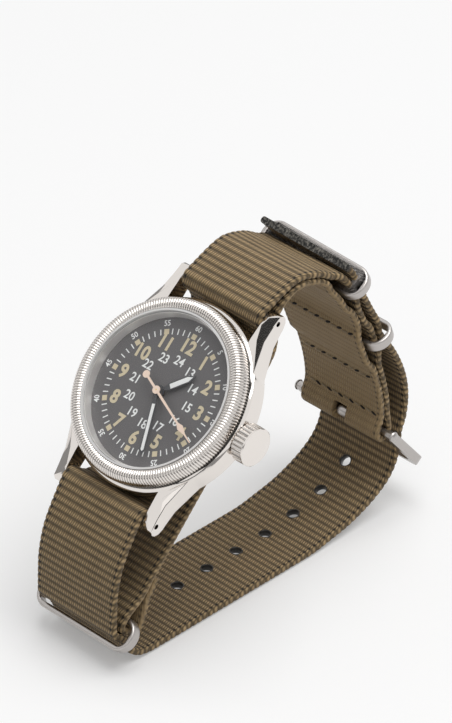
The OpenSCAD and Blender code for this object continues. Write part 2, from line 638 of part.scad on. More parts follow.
module fifth_wheel() color("gold") head() at(fifth_at) {
    gear(fifth_teeth, mod_of(rotor_dist, fifth_teeth, rotor_leaves), fifth_z,
        fifth_z + wheel_t, rotor_dir);
    gear(fifth_leaves, mod_of(fifth_dist, seconds_teeth, fifth_leaves), fifth_z + wheel_t,
        seconds_z + wheel_t + leaf_over, facing(fifth_dir, fifth_leaves));
    disc(arbor_r, arbor_foot, arbor_top);
}
module rotor() color("dimgray") head() at(rotor_at) {
    gear(rotor_leaves, mod_of(rotor_dist, fifth_teeth, rotor_leaves), fifth_z - leaf_over,
        fifth_z + wheel_t + leaf_over, facing(rotor_dir, rotor_leaves));
    disc(magnet_r, stator_z - 0.25, stator_z + 0.5);
    disc(arbor_r, arbor_foot, arbor_top);
}
minute_wheel_z = -plate_top + 0.12;
hour_wheel_z = -plate_top + 0.5;
module minute_wheel() color("gold") head() at(minute_wheel_at) difference() {
    union() {
        gear(minute_wheel_teeth, mod_of(minute_wheel_dist, minute_wheel_teeth, cannon_leaves),
            minute_wheel_z, minute_wheel_z + wheel_t, facing(minute_wheel_dir, minute_wheel_teeth));
        gear(minute_wheel_leaves, mod_of(minute_wheel_dist, hour_teeth, minute_wheel_leaves),
            minute_wheel_z + wheel_t, hour_wheel_z + wheel_t + leaf_over,
            facing(minute_wheel_dir, minute_wheel_leaves));
    }
    disc(arbor_r + 0.03, minute_wheel_z - past, past);
}
module hour_wheel() color("gold") head() difference() {
    union() {
        gear(hour_teeth, mod_of(minute_wheel_dist, hour_teeth, minute_wheel_leaves),
            hour_wheel_z, hour_wheel_z + wheel_t, minute_wheel_dir);
        disc(hour_tube_r, hour_wheel_z, hour_h + hand_t);
    }
    disc(minute_tube_r + 0.04, hour_wheel_z - past, hour_h + past);
}

// Hands, drawn pointing to 12 and turned clockwise to the photographed time.
module hand(angle, h) translate([0, 0, h]) rotate([0, 0, -angle]) children();
module slab(t) linear_extrude(height = t) children();
module second_hand() color([0.91, 0.79, 0.69]) head() difference() {
    hand(second_angle, second_h) {
        disc(0.7, 0, hand_t);
        slab(hand_t) polygon([[-0.2, -3.6], [-0.2, 2], [-0.17, 7.6], [-0.55, 8.6], [-0.14, 10.1],
            [-0.07, second_len], [0.07, second_len], [0.14, 10.1], [0.55, 8.6], [0.17, 7.6],
            [0.2, 2], [0.2, -3.6]]);
        translate([0, -3.6, 0]) disc(0.65, 0, hand_t);
    }
    disc(seconds_r, second_h - past, second_h + past);
}
minute_w = 0.95;
lume_w = 0.55;
lume_t = 0.06;
minute_lume = [2.3, 10.4];
module minute_hand() color([0.2, 0.2, 0.21]) head() difference() {
    hand(minute_angle, minute_h) {
        disc(0.9, 0, hand_t);
        slab(hand_t) polygon([[-0.25, 0], [-0.3, 1.6], [-minute_w / 2, 2.2], [-minute_w / 2, minute_lume[1] - 0.2],
            [0, minute_len], [minute_w / 2, minute_lume[1] - 0.2], [minute_w / 2, 2.2],
            [0.3, 1.6], [0.25, 0]]);
    }
    disc(minute_tube_r, minute_h - past, minute_h + past);
}
module minute_hand_lume() color("white") head() hand(minute_angle, minute_h + hand_t)
    slab(lume_t) polygon([[-lume_w / 2, minute_lume[0]], [-lume_w / 2, minute_lume[1] - 0.3],
            [0, minute_lume[1]], [lume_w / 2, minute_lume[1] - 0.3], [lume_w / 2, minute_lume[0]]]);
hour_w = 1.25;
hour_lume = [2.2, 6.5];
hour_lume_w = 0.85;
module hour_hand() color([0.2, 0.2, 0.21]) head() difference() {
    hand(hour_angle, hour_h) {
        disc(1.1, 0, hand_t);
        slab(hand_t) polygon([[-0.3, 0], [-0.35, 1.4], [-hour_w / 2, 2.1], [-hour_w / 2, hour_lume[1] - 0.7],
            [0, hour_len], [hour_w / 2, hour_lume[1] - 0.7], [hour_w / 2, 2.1],
            [0.35, 1.4], [0.3, 0]]);
    }
    disc(hour_tube_r, hour_h - past, hour_h + past);
}
module hour_hand_lume() color("white") head() hand(hour_angle, hour_h + hand_t)
    slab(lume_t) polygon([[-hour_lume_w / 2, hour_lume[0]], [-hour_lume_w / 2, hour_lume[1] - 0.9],
            [0, hour_lume[1]], [hour_lume_w / 2, hour_lume[1] - 0.9],
            [hour_lume_w / 2, hour_lume[0]]]);

// Crown, stem and the pinion that turns with the stem while the stem slides in it.
crown_foot = case_r + 0.2;
crown_rise = 0.45;
crown_recess_r = tube_r + 0.25;
crown_recess = 1.9;
square_w = 0.7;
pinion_x = [7.6, 9.4];
module along_stem() head() translate([0, 0, -stem_drop]) rotate([0, 90, 0]) children();
module crown() color("gainsboro") along_stem() difference() {
    translate([0, 0, crown_foot]) rotate_extrude() polygon(concat(
        [[0, 0], [crown_r - 0.3, 0], [crown_r, 0.3], [crown_r, crown_len - 0.15],
            [crown_r - 0.15, crown_len]],
        [for (i = [0 : 6]) let (r = (crown_r - 0.4) * (1 - i / 6))
            [r, crown_len + crown_rise * (1 - pow(r / (crown_r - 0.4), 2))]]));
    tube(crown_recess_r, stem_r, crown_foot - past, crown_foot + crown_recess);
    disc(stem_r, crown_foot - past, crown_foot + crown_recess + 0.6);
    for (i = [0 : crown_flutes - 1]) rotate([0, 0, 360 * i / crown_flutes])
        translate([crown_r + 0.12, 0, crown_foot - past]) cylinder(h = crown_len + past - 0.35, r = 0.3);
}
module winding_stem() color("silver") along_stem() {
    disc(stem_r, pinion_x[1] + 1.4, crown_foot + crown_recess + 0.6);
    translate([-square_w / 2, -square_w / 2, pinion_x[0] - 0.6])
        cube([square_w, square_w, pinion_x[1] + 2 - pinion_x[0]]);
}
module crown_gasket() color("black") along_stem()
    tube(crown_recess_r, tube_r + 0.02, crown_foot + 0.3, crown_foot + 0.9);
pinion_r = 0.72;
module sliding_pinion() color("silver") along_stem() difference() {
    union() {
        disc(pinion_r - 0.08, pinion_x[0], pinion_x[1]);
        gear(14, 2 * pinion_r / 15, pinion_x[0], pinion_x[0] + 0.5);
        gear(14, 2 * pinion_r / 15, pinion_x[1] - 0.5, pinion_x[1]);
    }
    translate([-square_w / 2 - 0.03, -square_w / 2 - 0.03, pinion_x[0] - past])
        cube([square_w + 0.06, square_w + 0.06, pinion_x[1] - pinion_x[0] + 2 * past]);
}

// Spring bars: a sleeve with a sprung pin at each end, between a pair of lugs.
sleeve_half = lug_gap / 2 - 0.35;
crimp = 0.3;
pin_in = 5.5;
pin_out = lug_gap / 2 + bar_travel - play;
spring_half = pin_in - bar_travel - play;
module bar_at(sy) head() translate([0, sy * bar_reach, -bar_drop]) rotate([0, 90, 0]) children();
module sleeve(sy) color("silver") bar_at(sy) difference() {
    disc(bar_d / 2, -sleeve_half, sleeve_half);
    disc(bar_bore_d / 2, crimp - sleeve_half, sleeve_half - crimp);
    disc(bar_pin_d / 2 + play, -sleeve_half - past, sleeve_half + past);
}
module pin(sy, sx) color("gainsboro") bar_at(sy) mirror([0, 0, sx < 0 ? 1 : 0]) {
    disc(bar_bore_d / 2 - play, pin_in, sleeve_half - crimp - play);
    disc(bar_pin_d / 2, sleeve_half - crimp - play, pin_out);
}
module spring_bar_upper() sleeve(1);
module spring_bar_lower() sleeve(-1);
module bar_springs() color("gray") for (sy = [-1, 1]) bar_at(sy)
    tube(bar_bore_d / 2 - play, bar_bore_d / 2 - 0.2, -spring_half, spring_half);
module bar_pin_upper_left() pin(1, -1);
module bar_pin_upper_right() pin(1, 1);
module bar_pin_lower_left() pin(-1, -1);
module bar_pin_lower_right() pin(-1, 1);

// Straps. A hole is bored square to the webbing, and one follows the buckle's tongue.
module bore(p, axis, d) translate([0, p[0], p[1]]) rotate([axis - 90, 0, 0])
    cylinder(h = 4 * strap_t, r = d / 2, center = true);
hole_first = -0.7;
slot_w = 3;
to_buckle_run = runs(after_flat);
function along_tail(s) = let (hits = [for (i = [0 : len(after_flat) - 2])
        if (to_buckle_run[i] <= s && to_buckle_run[i + 1] > s) i], i = hits[0],
    t = (s - to_buckle_run[i]) / (to_buckle_run[i + 1] - to_buckle_run[i]))
    [after_flat[i] + (after_flat[i + 1] - after_flat[i]) * t, unit(after_flat[i + 1] - after_flat[i])];
module strap_long() color([0.42, 0.37, 0.28]) difference() {
    side_view(strap_w) polygon(ribbon(long_path, strap_t));
    for (i = [0 : hole_count - 1]) {
        spot = along_tail(hole_first - flat_start[0] + i * hole_pitch);
        bore(spot[0], atan2(spot[1][1], spot[1][0]) + 90, hole_d);
    }
    bore(tail_cross, tongue_angle, hole_d);
    translate([-slot_w / 2, pivot[0] - fold_r - strap_t, pivot[1] - fold_r - strap_t])
        cube([slot_w, 2 * (fold_r + strap_t), fold_r + strap_t + 2.2]);
}
module strap_short() color([0.4, 0.35, 0.27])
    side_view(strap_w) polygon(ribbon(short_path, strap_t));

// Keeper loops of flat band, drawn in the plane of the loop.
module rounded(w, h, r) translate([-w / 2, -h / 2]) union() {
    translate([r, 0]) square([w - 2 * r, h]);
    translate([0, r]) square([w, h - 2 * r]);
    for (x = [r, w - r]) for (y = [r, h - r]) translate([x, y]) circle(r = r);
}
keeper_corner = keeper_pitch / 2 - 0.1;
module keeper(centre, out, skew) color("silver") translate([0, centre[0], centre[1]])
    rotate([atan2(out[1], out[0]), 0, 0]) rotate([0, skew, 0])
        linear_extrude(height = keeper_band, center = true) difference() {
            rounded(keeper_w, keeper_pitch + keeper_t, keeper_corner + keeper_t / 2);
            rounded(keeper_w - 2 * keeper_t, keeper_pitch - keeper_t, keeper_corner - keeper_t / 2 - 0.6);
        }
module keeper_upper() keeper(upper_centre, seam_out(upper_at), upper_skew);
module keeper_middle() keeper(middle_centre, seam_out(middle_at), 0);
module keeper_lower() keeper(lower_centre, lower_out, lower_skew);

// Buckle: its frame lies along frame_dir, with the pivot at its own zero.
module at_pivot(a) translate([0, pivot[0], pivot[1]]) rotate([a, 0, 0]) children();
frame_corner = 2.4;
module buckle_frame() color("silver") at_pivot(frame_angle) difference() {
    union() {
        translate([0, 0, -frame_h / 2]) linear_extrude(height = frame_h) difference() {
            translate([0, frame_len / 2 + frame_h / 4])
                rounded(keeper_w, frame_len + frame_h / 2, frame_corner);
            translate([0, frame_len / 2 - frame_h / 4])
                rounded(keeper_w - 2 * frame_t, frame_len - frame_h / 2 + 0.01, frame_corner - frame_t / 2);
            translate([-keeper_w / 2 - past, -past]) square([keeper_w + 2 * past, frame_corner + past]);
        }
        for (sx = [-1, 1]) translate([sx * (keeper_w / 2 - frame_t / 2), 0, 0]) {
            rotate([0, 90, 0]) cylinder(h = frame_t, r = frame_h / 2, center = true);
            translate([-frame_t / 2, 0, -frame_h / 2]) cube([frame_t, frame_corner, frame_h]);
        }
    }
    rotate([0, 90, 0]) cylinder(h = 2 * keeper_w, r = pivot_r, center = true);
}
module buckle_pivot() color("gainsboro") at_pivot(frame_angle) rotate([0, 90, 0]) {
    cylinder(h = keeper_w, r = pivot_r, center = true);
    for (sx = [0, 1]) mirror([0, 0, sx]) translate([0, 0, keeper_w / 2])
        rotate_extrude() polygon([[0, 0], [0.95, 0], [0.85, 0.25], [0.45, 0.45], [0, 0.5]]);
}
tongue_knuckle = 1.15;
tongue_len = frame_len + frame_h / 2 + 0.3;
module buckle_tongue() color("gainsboro") at_pivot(tongue_angle) difference() {
    union() {
        rotate([0, 90, 0]) cylinder(h = 2, r = tongue_knuckle, center = true);
        rotate([-90, 0, 0]) cylinder(h = tongue_len, r = tongue_d / 2);
    }
    rotate([0, 90, 0]) cylinder(h = 3, r = pivot_r + play, center = true);
}

mid_case();
bezel();
crystal();
crystal_seal();
rehaut_ring();
case_back();
case_back_gasket();
crown_tube();
movement_ring();
dial_plate();
hour_plots();
main_plate();
wheel_bridge();
circuit_board();
drive_coil();
stator();
battery_cell();
battery_clamp();
movement_screws();
seconds_wheel();
second_hand();
centre_wheel();
minute_hand();
minute_hand_lume();
hour_wheel();
hour_hand();
hour_hand_lume();
third_wheel();
fifth_wheel();
rotor();
minute_wheel();
sliding_pinion();
winding_stem();
crown();
crown_gasket();
spring_bar_upper();
spring_bar_lower();
bar_springs();
bar_pin_upper_left();
bar_pin_upper_right();
bar_pin_lower_left();
bar_pin_lower_right();
strap_long();
strap_short();
keeper_upper();
keeper_middle();
keeper_lower();
buckle_frame();
buckle_pivot();
buckle_tongue();
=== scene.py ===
# %% [markdown]
# # A pilot watch on a woven strap
# The metal parts of this watch come ready made from a CAD model, each as its own object in metres.
# This lesson dresses them: it builds what CAD leaves plain, such as webbing, flutes and numerals,
# and gives every surface a finish. Lengths below are written in millimetres and scaled once.

# %% Load the frame
import json
import math
from bisect import bisect_right
import bpy
import bmesh
from mathutils import Matrix, Vector


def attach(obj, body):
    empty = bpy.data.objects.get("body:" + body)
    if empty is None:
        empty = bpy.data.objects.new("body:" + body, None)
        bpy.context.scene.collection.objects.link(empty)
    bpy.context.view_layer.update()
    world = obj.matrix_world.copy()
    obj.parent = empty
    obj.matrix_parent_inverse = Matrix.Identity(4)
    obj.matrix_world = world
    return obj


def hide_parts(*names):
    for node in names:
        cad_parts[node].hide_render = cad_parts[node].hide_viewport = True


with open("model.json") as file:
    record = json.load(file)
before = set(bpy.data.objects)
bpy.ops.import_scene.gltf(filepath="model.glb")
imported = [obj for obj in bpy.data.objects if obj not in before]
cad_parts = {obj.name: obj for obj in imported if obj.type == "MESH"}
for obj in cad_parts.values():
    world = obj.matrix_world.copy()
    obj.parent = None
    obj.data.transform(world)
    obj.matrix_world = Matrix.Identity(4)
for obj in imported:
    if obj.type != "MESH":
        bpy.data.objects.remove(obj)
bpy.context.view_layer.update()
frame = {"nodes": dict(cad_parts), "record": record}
MM = 0.001

# %% [markdown]
# ## Camera
# The head leans back and the camera looks down on it from the crown side. A long lens flattens the
# view, as it does in a product picture. A camera looks along its own -Z, so its three axes can be
# written straight into a matrix, which is clearer than turning it by hand.

# %% Camera
CAMERA_AZIMUTH = math.radians(43.911)
CAMERA_ELEVATION = math.radians(34.102)
CAMERA_ROLL = math.radians(0.943)
CAMERA_DISTANCE = 863.3
CAMERA_TARGET = Vector((15.05, -5.52, 55.82))
IMAGE_HEIGHT_PX = 723
FOCAL_LENGTH_PX = 5434.7


def place_camera():
    back = Vector((math.sin(CAMERA_AZIMUTH) * math.cos(CAMERA_ELEVATION),
                   -math.cos(CAMERA_AZIMUTH) * math.cos(CAMERA_ELEVATION),
                   math.sin(CAMERA_ELEVATION)))
    level_right = Vector((math.cos(CAMERA_AZIMUTH), math.sin(CAMERA_AZIMUTH), 0))
    level_up = back.cross(level_right)
    right = level_right * math.cos(CAMERA_ROLL) + level_up * math.sin(CAMERA_ROLL)
    up = level_up * math.cos(CAMERA_ROLL) - level_right * math.sin(CAMERA_ROLL)
    data = bpy.data.cameras.new("camera")
    data.sensor_width = 36
    data.lens = data.sensor_width * FOCAL_LENGTH_PX / IMAGE_HEIGHT_PX
    data.clip_end = 100
    camera = bpy.data.objects.new("camera", data)
    turn = Matrix((right, up, back)).transposed().to_4x4()
    camera.matrix_world = Matrix.Translation((CAMERA_TARGET + back * CAMERA_DISTANCE) * MM) @ turn
    bpy.context.scene.collection.objects.link(camera)
    bpy.context.scene.camera = camera
    return camera


camera = place_camera()
bpy.context.scene.view_settings.view_transform = "Standard"
print("camera lens:", round(camera.data.lens, 1), "mm")

# %% [markdown]
# ## Helpers for meshes
# A bmesh is Blender's editable mesh in memory. Every piece here is shaped in one, in millimetres,
# then scaled to metres and handed to an object that stays at the origin, so that its place is in
# its vertices.


# %% Mesh helpers
def make_object(name, bm, body, smooth=True):
    bmesh.ops.scale(bm, vec=(MM, MM, MM), verts=bm.verts)
    mesh = bpy.data.meshes.new(name)
    bm.to_mesh(mesh)
    bm.free()
    for polygon in mesh.polygons:
        polygon.use_smooth = smooth
    piece = bpy.data.objects.new(name, mesh)
    bpy.context.scene.collection.objects.link(piece)
    if body:
        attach(piece, body)
    return piece


def finish_with(piece, material):
    piece.data.materials.clear()
    piece.data.materials.append(material)
    return piece


HEAD_TILT = math.radians(43.7)
HEAD_Y = -5
HEAD_Z = 42.2
HEAD = Matrix.Translation((0, HEAD_Y, HEAD_Z)) @ Matrix.Rotation(HEAD_TILT, 4, "X")


def head_point(up, out):
    place = HEAD @ Vector((0, up, out))
    return Vector((place.y, place.z))


print("dial centre at", tuple(round(v, 1) for v in HEAD.translation), "mm")

# %% [markdown]
# ## Helpers for materials
# A material is a small graph of nodes. Each finish below starts from the same pieces: a position on
# the object, some noise for colour and roughness, and a bump. Fixed values are set on the shader's
# own sockets, so that they survive an export.


# %% Material helpers
class Finish:
    """A material with a Principled shader and short ways to add and join nodes."""

    def __init__(self, name, color, roughness, metallic=0.0):
        self.material = bpy.data.materials.new(name)
        self.material.use_nodes = True
        self.tree = self.material.node_tree
        self.shader = self.tree.nodes["Principled BSDF"]
        self.set("Base Color", (*color, 1))
        self.set("Roughness", roughness)
        self.set("Metallic", metallic)

    def set(self, socket, value):
        self.shader.inputs[socket].default_value = value
        return self

    def node(self, kind, inputs=None, **settings):
        node = self.tree.nodes.new(kind)
        for key, value in settings.items():
            setattr(node, key, value)
        for socket, value in (inputs or {}).items():
            if isinstance(value, bpy.types.NodeSocket):
                self.tree.links.new(value, node.inputs[socket])
            else:
                node.inputs[socket].default_value = value
        return node

    def link(self, output, socket):
        self.tree.links.new(output, self.shader.inputs[socket])
        return self

    def math(self, operation, a, b=0.0):
        return self.node("ShaderNodeMath", {0: a, 1: b}, operation=operation).outputs[0]

    def position(self, scale=(1, 1, 1)):
        where = self.node("ShaderNodeTexCoord").outputs["Object"]
        return self.node("ShaderNodeMapping", {"Vector": where, "Scale": scale}).outputs[0]

    def noise(self, vector, scale, detail=3.0):
        settings = {"Vector": vector, "Scale": scale, "Detail": detail}
        return self.node("ShaderNodeTexNoise", settings).outputs["Fac"]

    def between(self, factor, low, high):
        settings = {"Value": factor, "To Min": low, "To Max": high}
        return self.node("ShaderNodeMapRange", settings).outputs[0]

    def blend(self, factor, first, second):
        """The first colour where the factor is 0, the second where it is 1."""
        node = self.node("ShaderNodeMix", {"Factor": factor}, data_type="RGBA")
        sockets = [s for s in node.inputs if s.type == "RGBA"]
        for socket, color in zip(sockets, (first, second)):
            if isinstance(color, bpy.types.NodeSocket):
                self.tree.links.new(color, socket)
            else:
                socket.default_value = (*color, 1)
        return [s for s in node.outputs if s.type == "RGBA"][0]

    def bump(self, height, strength, distance):
        node = self.node("ShaderNodeBump", {"Height": height, "Strength": strength,
                                            "Distance": distance})
        return self.link(node.outputs[0], "Normal")


GRAIN_DEPTH = 0.00002
PATCH_GRAINS = 12
METAL_PATCH = 0.94
PAINT_SPREAD = 0.06


def metal(name, color, roughness, grain=900, grain_bump=0.05, stretch=(1, 1, 1), spread=0.05):
    f = Finish(name, color, roughness, metallic=1.0)
    where = f.position(stretch)
    fine = f.noise(where, grain)
    broad = f.noise(where, grain / PATCH_GRAINS)
    f.link(f.between(fine, roughness - spread, roughness + spread), "Roughness")
    f.link(f.blend(broad, [c * METAL_PATCH for c in color], color), "Base Color")
    f.bump(fine, grain_bump, GRAIN_DEPTH)
    return f.material


def paint(name, color, roughness, mottle=0.9, grain=2500, grain_bump=0.15):
    f = Finish(name, color, roughness)
    where = f.position()
    fine = f.noise(where, grain)
    f.link(f.blend(fine, [c * mottle for c in color], color), "Base Color")
    f.link(f.between(fine, roughness - PAINT_SPREAD, roughness + PAINT_SPREAD), "Roughness")
    f.bump(fine, grain_bump, GRAIN_DEPTH)
    return f.material


print("material helpers ready")

# %% [markdown]
# ## Finishes of the metal, paint and plastic parts
# The case is polished, so it is nearly a mirror with faint hairlines. The keepers and buckle are
# satin steel. The dial is matt paint. The hidden movement gets honest brass, plastic and copper,
# because the watch may be opened up in another view.

# %% Plain finishes
POLISHED_COLOR = (0.8, 0.755, 0.715)
FINISHES = {
    "case_steel": metal("polished_steel", POLISHED_COLOR, 0.07, 1400, 0.008, spread=0.015),
    "back_steel": metal("turned_steel", (0.74, 0.73, 0.71), 0.26, 1100, 0.12, (1, 1, 3)),
    "band_steel": metal("satin_steel", (0.5, 0.472, 0.452), 0.34, 1600, 0.1, (0.12, 1, 1)),
    "seal_rubber": paint("black_rubber", (0.03, 0.03, 0.03), 0.8),
    "dial_paint": paint("dial_paint", (0.114, 0.109, 0.111), 0.5, 0.94),
    "cream_lume": paint("cream_paint", (0.68, 0.59, 0.41), 0.75, 0.86),
    "white_lume": paint("white_paint", (0.88, 0.89, 0.88), 0.7, 0.93),
    "hand_paint": paint("dark_hand_paint", (0.05, 0.05, 0.055), 0.3),
    "second_paint": paint("peach_hand_paint", (0.93, 0.73, 0.6), 0.4, 0.95),
    "gear_brass": metal("gear_brass", (0.86, 0.66, 0.32), 0.28),
    "plate_brass": metal("plate_brass", (0.78, 0.64, 0.38), 0.36),
    "bridge_steel": metal("bridge_steel", (0.66, 0.67, 0.69), 0.3, 1300, 0.1, (1, 0.1, 1)),
    "holder_plastic": paint("holder_plastic", (0.78, 0.76, 0.68), 0.5),
    "board_green": paint("board_lacquer", (0.02, 0.14, 0.05), 0.35, 0.7),
    "coil_copper": metal("lacquered_copper", (0.8, 0.4, 0.2), 0.3, 3000, 0.3, (6, 1, 1)),
    "magnet_grey": paint("magnet_grey", (0.05, 0.05, 0.055), 0.5, 0.7),
    "screw_steel": metal("blued_steel", (0.2, 0.26, 0.42), 0.22),
}


RIM_POWER = 5.0
RIM_GLARE = 0.4
FACE_GLARE = 0.03


def crystal_glass():
    """Clear glass: only its glare is drawn, strongest where it is seen edge on."""
    f = Finish("crystal", (0.9, 0.91, 0.92), 0.03)
    rim = f.node("ShaderNodeLayerWeight", {"Blend": 0.5}).outputs["Facing"]
    behind = f.node("ShaderNodeNewGeometry").outputs["Backfacing"]
    glare = f.math("MULTIPLY", f.math("POWER", rim, RIM_POWER), RIM_GLARE)
    glare = f.math("ADD", glare, FACE_GLARE)
    f.link(f.math("MULTIPLY", glare, f.math("SUBTRACT", 1.0, behind)), "Alpha")
    f.link(f.between(f.noise(f.position(), 120), 0.02, 0.06), "Roughness")
    return f.material


FINISHES["crystal_glass"] = crystal_glass()
for part in frame["record"]["subparts"]:
    if part["material_slot"] in FINISHES:
        finish_with(frame["nodes"][part["node"]], FINISHES[part["material_slot"]])
finish_with(frame["nodes"]["rehaut_ring"],
            metal("reflector_ring", (0.97, 0.95, 0.93), 0.5, 1200, 0.05))
finish_with(frame["nodes"]["crystal_seal"], paint("nylon_seal", (0.7, 0.69, 0.67), 0.5, 0.95))
print("finishes:", len(FINISHES))

# %% [markdown]
# ## Softened edges
# CAD edges are perfectly sharp, and real ones never are: a small rounding catches the light. The
# CAD mesh itself stays as it is, so a copy is welded, its flat faces are merged, and only its
# sharp edges are bevelled. The copy then stands for the node.


# %% Softened copies of the metal parts
WELD_GAP = 0.0005
BAND_ROUNDING = 0.42
TONGUE_ROUNDING = 0.2
BACK_ROUNDING = 0.15


def welded(node, flat=2.0):
    bm = bmesh.new()
    bm.from_mesh(frame["nodes"][node].data)
    bmesh.ops.scale(bm, vec=(1 / MM, 1 / MM, 1 / MM), verts=bm.verts)
    bmesh.ops.remove_doubles(bm, verts=bm.verts, dist=WELD_GAP)
    bmesh.ops.dissolve_limit(bm, angle_limit=math.radians(flat), verts=bm.verts, edges=bm.edges)
    return bm


def round_edges(bm, width, segments=3, sharp=28.0):
    edges = [e for e in bm.edges if len(e.link_faces) == 2
             and e.calc_face_angle(0) > math.radians(sharp)]
    bmesh.ops.bevel(bm, geom=edges, offset=width, offset_type="OFFSET", segments=segments,
                    profile=0.5, affect="EDGES", clamp_overlap=True, material=-1)


def shade_by_angle(piece, degrees=35):
    piece.data.set_sharp_from_angle(angle=math.radians(degrees))


def soften(node, body, slot, width, segments=3):
    bm = welded(node)
    round_edges(bm, width, segments)
    piece = make_object(node + "_finished", bm, body)
    shade_by_angle(piece)
    finish_with(piece, FINISHES[slot])
    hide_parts(node)


for node, body in (("keeper_upper", "upper_keeper"), ("keeper_middle", "middle_keeper"),
                   ("keeper_lower", "lower_keeper")):
    soften(node, body, "band_steel", BAND_ROUNDING, 5)
soften("buckle_frame", "buckle", "band_steel", BAND_ROUNDING, 5)
soften("buckle_tongue", "tongue", "band_steel", TONGUE_ROUNDING)
soften("case_back", "watch", "back_steel", BACK_ROUNDING)
print("softened the keepers, the buckle, its tongue and the case back")

# %% [markdown]
# ## Lug facets
# Each lug has a slanted polished facet that starts at its outer edge and widens toward the tip. A
# plane cuts it off: bisect_plane removes what lies above the plane, and the open cut is filled.
# The facet's border is marked sharp, because its angle is too small for the general rule. On the
# real case its outer border shows as a thin dark line, so that border gets a narrow bevel in dark
# steel, a painted reflection.

# %% Case with facets
CASE_ROUNDING = 0.1
CREASE_W = 0.07
CREASE_MIN_LENGTH = 0.05
CREASE_MIN_ANGLE = math.radians(25)
LUG_SIDE_X = 11.24
FACET_POINT = Vector((11.3, 19.05, -1.74))
FACET_SLOPE = Vector((0.28, 0.19, 1)).normalized()


def cut_facets(bm):
    mark = bm.faces.layers.int.new("facet")
    for side_x in (-1, 1):
        for side_y in (-1, 1):
            flip = Matrix.Diagonal((side_x, side_y, 1))
            place = HEAD @ (flip @ FACET_POINT)
            slope = HEAD.to_3x3() @ (flip @ FACET_SLOPE)
            cut = bmesh.ops.bisect_plane(bm, geom=bm.verts[:] + bm.edges[:] + bm.faces[:],
                                         dist=0.0001, plane_co=place, plane_no=slope,
                                         clear_outer=True)
            border = [e for e in cut["geom_cut"] if isinstance(e, bmesh.types.BMEdge)]
            for face in bmesh.ops.holes_fill(bm, edges=border, sides=0)["faces"]:
                face[mark] = 1
    bmesh.ops.recalc_face_normals(bm, faces=bm.faces)
    return mark


def sharpen(bm, mark, degrees=35):
    for edge in bm.edges:
        if len(edge.link_faces) != 2:
            continue
        on_facet = sum(face[mark] for face in edge.link_faces)
        edge.smooth = on_facet != 1 and edge.calc_face_angle(0) < math.radians(degrees)


def crease(bm, mark):
    border = [e for e in bm.edges if sum(face[mark] for face in e.link_faces) == 1
              and e.calc_face_angle(0) > CREASE_MIN_ANGLE and e.calc_length() > CREASE_MIN_LENGTH
              and abs(e.verts[0].co.x) > LUG_SIDE_X]
    bmesh.ops.bevel(bm, geom=border, offset=CREASE_W, offset_type="OFFSET", segments=1,
                    profile=0.5, affect="EDGES", clamp_overlap=False, material=1)


bm = welded("mid_case")
round_edges(bm, CASE_ROUNDING, 3, sharp=40)
facet_mark = cut_facets(bm)
crease(bm, facet_mark)
sharpen(bm, facet_mark)
mid_case = make_object("mid_case_finished", bm, "watch")
# painted reflection: the dark steel on the crease bevel draws the thin dark line on polished steel
for material in (FINISHES["case_steel"], metal("painted_crease_reflection", (0.1, 0.095, 0.09), 0.3)):
    mid_case.data.materials.append(material)
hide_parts("mid_case")
print("mid case faces:", len(mid_case.data.polygons))

# %% [markdown]
# ## Fluted bezel
# The bezel is a ring of half-round section, cut with fine radial flutes all the way round. It can
# be turned like the real one: a half-round outline is spun round the dial's axis. Then every
# vertex is pushed in or out by its angle, which cuts the flutes without a single boolean. Painted
# shade darkens the bottoms of the flutes and a thin line under the bezel's foot.

# %% Bezel
CASE_R = 16.75
BEZEL_MID_R = 14.75
BEZEL_HALF_W = 1.45
BEZEL_MID_Z = 0.45
BEZEL_TOP = 2.5
BEZEL_FOOT = -0.35
BEZEL_LIP_R = 13.9
BEZEL_LIP_Z = 1.05
BEZEL_STEP_R = 14.35
BEZEL_STEP_Z = 0.35
BEZEL_BORE_R = 15.3
FLUTES = 200
FLUTE_STEPS = 6
FLUTE_DEPTH = 0.12
FLUTE_IN = 1.2
FLUTE_FOOT = -0.2
# painted shade: below FOOT_TOP the bezel's foot is darkened into a line where it meets the case; a
# value above 1 makes that line fully dark
FOOT_TOP = 0.12
FOOT_SHADE = 2.0


def bezel_section():
    foot = -math.asin((BEZEL_MID_Z - BEZEL_FOOT) / (BEZEL_TOP - BEZEL_MID_Z))
    lip = math.acos((BEZEL_LIP_R - BEZEL_MID_R) / BEZEL_HALF_W)
    steps = 16
    round_part = [foot + (lip - foot) * i / steps for i in range(steps + 1)]
    points = [(BEZEL_MID_R + BEZEL_HALF_W * math.cos(a),
               BEZEL_MID_Z + (BEZEL_TOP - BEZEL_MID_Z) * math.sin(a)) for a in round_part]
    points += [(BEZEL_LIP_R, BEZEL_LIP_Z), (BEZEL_STEP_R, BEZEL_LIP_Z),
               (BEZEL_STEP_R, BEZEL_STEP_Z), (BEZEL_BORE_R, BEZEL_STEP_Z),
               (BEZEL_BORE_R, BEZEL_FOOT)]
    return points


def turned(bm, points, steps, closed=True):
    ring = [bm.verts.new((r, 0, z)) for r, z in points]
    pairs = list(zip(ring, ring[1:])) + ([(ring[-1], ring[0])] if closed else [])
    edges = [bm.edges.new(pair) for pair in pairs]
    bmesh.ops.spin(bm, geom=ring + edges, cent=(0, 0, 0), axis=(0, 0, 1), angle=2 * math.pi,
                   steps=steps, use_merge=True, use_duplicate=False)
    bmesh.ops.remove_doubles(bm, verts=bm.verts, dist=0.001)
    bmesh.ops.recalc_face_normals(bm, faces=bm.faces)


